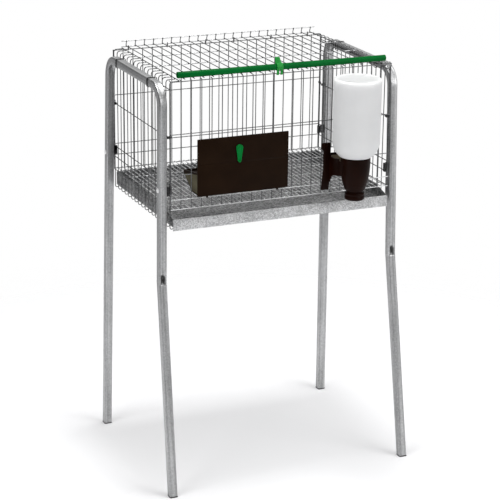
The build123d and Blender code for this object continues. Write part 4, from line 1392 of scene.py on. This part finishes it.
def stage_floor():
    """A wide floor that keeps the shadow, and gives way to the white surroundings in the camera's view."""
    mesh = bpy.data.meshes.new("studio_floor")
    corners = floor_half * np.array([(-1, -1, 0), (1, -1, 0), (1, 1, 0), (-1, 1, 0)])
    mesh.from_pydata(corners.tolist(), [], [(0, 1, 2, 3)])
    floor = bpy.data.objects.new("studio_floor", mesh)
    bpy.context.scene.collection.objects.link(floor)
    finish = bpy.data.materials.new("floor_white")
    finish.use_nodes = True
    tree = finish.node_tree
    tree.nodes.clear()
    seen, mirrored_ray = rays(tree)
    place = add(tree, "TexCoord").outputs["Object"]
    away = add(tree, "VectorMath", {0: place}, operation="LENGTH").outputs["Value"]
    fade = span(tree, away, 0.0, 1.0, 0.8, 1.6, "SMOOTHSTEP")
    sheen = math(tree, "MAXIMUM", span(tree, away, 0.15, -0.2, 0.5, 2.5), 0.0)
    in_mirror = math(tree, "MULTIPLY", sheen, mirrored_ray)
    strength = math(tree, "ADD", math(tree, "MULTIPLY", seen, floor_lift), in_mirror)
    pale = add(tree, "BsdfDiffuse", {"Color": floor_grey}).outputs[0]
    glow = add(tree, "Emission", {"Color": white, "Strength": strength}).outputs[0]
    both = add(tree, "AddShader", {0: pale, 1: glow}).outputs[0]
    clear = add(tree, "BsdfTransparent").outputs[0]
    gone = math(tree, "MULTIPLY", seen, fade)
    mixed = add(tree, "MixShader", {"Fac": gone, 1: both, 2: clear})
    add(tree, "OutputMaterial", {"Surface": mixed.outputs[0]})
    mesh.materials.append(finish)


def surroundings():
    """White where the camera sees it and behind the object in reflections, a darker room in front and
    above in reflections, and a plain level of light for the rest."""
    world = bpy.data.worlds.new("studio")
    bpy.context.scene.world = world
    world.use_nodes = True
    tree = world.node_tree
    tree.nodes.clear()
    seen, mirrored_ray = rays(tree)
    way = add(tree, "TexCoord").outputs["Generated"]
    facing = add(tree, "VectorMath", {0: way, 1: behind}, operation="DOT_PRODUCT").outputs["Value"]
    backdrop = span(tree, facing, room, 0.9, 0.7, 0.92, "SMOOTHSTEP")
    in_mirror = math(tree, "MULTIPLY", math(tree, "SUBTRACT", backdrop, ambient), mirrored_ray)
    strength = math(tree, "MAXIMUM", math(tree, "ADD", in_mirror, ambient), seen)
    glow = add(tree, "Background", {"Color": white, "Strength": strength})
    add(tree, "OutputWorld", {"Surface": glow.outputs[0]})


def soft_lamp(name, place, aim, wide, deep, power, in_reflections=True):
    """A soft box that faces a point, seen in reflections or not."""
    lamp = bpy.data.lights.new(name, "AREA")
    lamp.shape = "RECTANGLE"
    lamp.size = wide
    lamp.size_y = deep
    lamp.energy = power
    holder = bpy.data.objects.new(name, lamp)
    holder.location = place
    holder.visible_glossy = in_reflections
    holder.rotation_mode = "QUATERNION"
    holder.rotation_quaternion = (Vector(aim) - Vector(place)).to_track_quat("-Z", "Y")
    bpy.context.scene.collection.objects.link(holder)


view_turn = radians(-23.8)
view_rise = radians(18.3)
view_roll = radians(0.7)
view_aim = Vector((0.0054, 0.05345, 0.5056))
view_distance = 4.582
lens_length = 129.8
sensor = 36.0
view_limit = 200.0


def camera():
    """The photograph's view: a long lens from the front left, a little above, with a slight roll."""
    back = Vector((sin(view_turn) * cos(view_rise), -cos(view_turn) * cos(view_rise), sin(view_rise)))
    right = Vector((cos(view_turn), sin(view_turn), 0))
    up = back.cross(right)
    rolled_right = cos(view_roll) * right + sin(view_roll) * up
    rolled_up = cos(view_roll) * up - sin(view_roll) * right
    turn = Matrix((rolled_right, rolled_up, back)).transposed().to_4x4()
    lens = bpy.data.cameras.new("camera")
    lens.sensor_width = sensor
    lens.lens = lens_length
    lens.clip_end = view_limit
    holder = bpy.data.objects.new("camera", lens)
    holder.matrix_world = Matrix.Translation(view_aim + back * view_distance) @ turn
    bpy.context.scene.collection.objects.link(holder)
    bpy.context.scene.camera = holder


stage_floor()
surroundings()
soft_lamp("overhead_lamp", (0.06, 0.16, 3.3), (0.06, 0.16, 0.5), 0.6, 0.6, 37.0)
soft_lamp("ceiling_lamp", (1.5, -1.1, 4.5), (0, 0, 0.6), 2.4, 4.8, 50.0)
soft_lamp("front_lamp", (1.85, -2.5, 1.9), (0, 0, 0.6), 1.8, 1.8, 32.0)
soft_lamp("fill_lamp", (-2.8, -1.2, 1.6), (0, 0, 0.6), 2.0, 2.0, 46.0, in_reflections=False)
camera()
bpy.context.scene.view_settings.view_transform = "Standard"
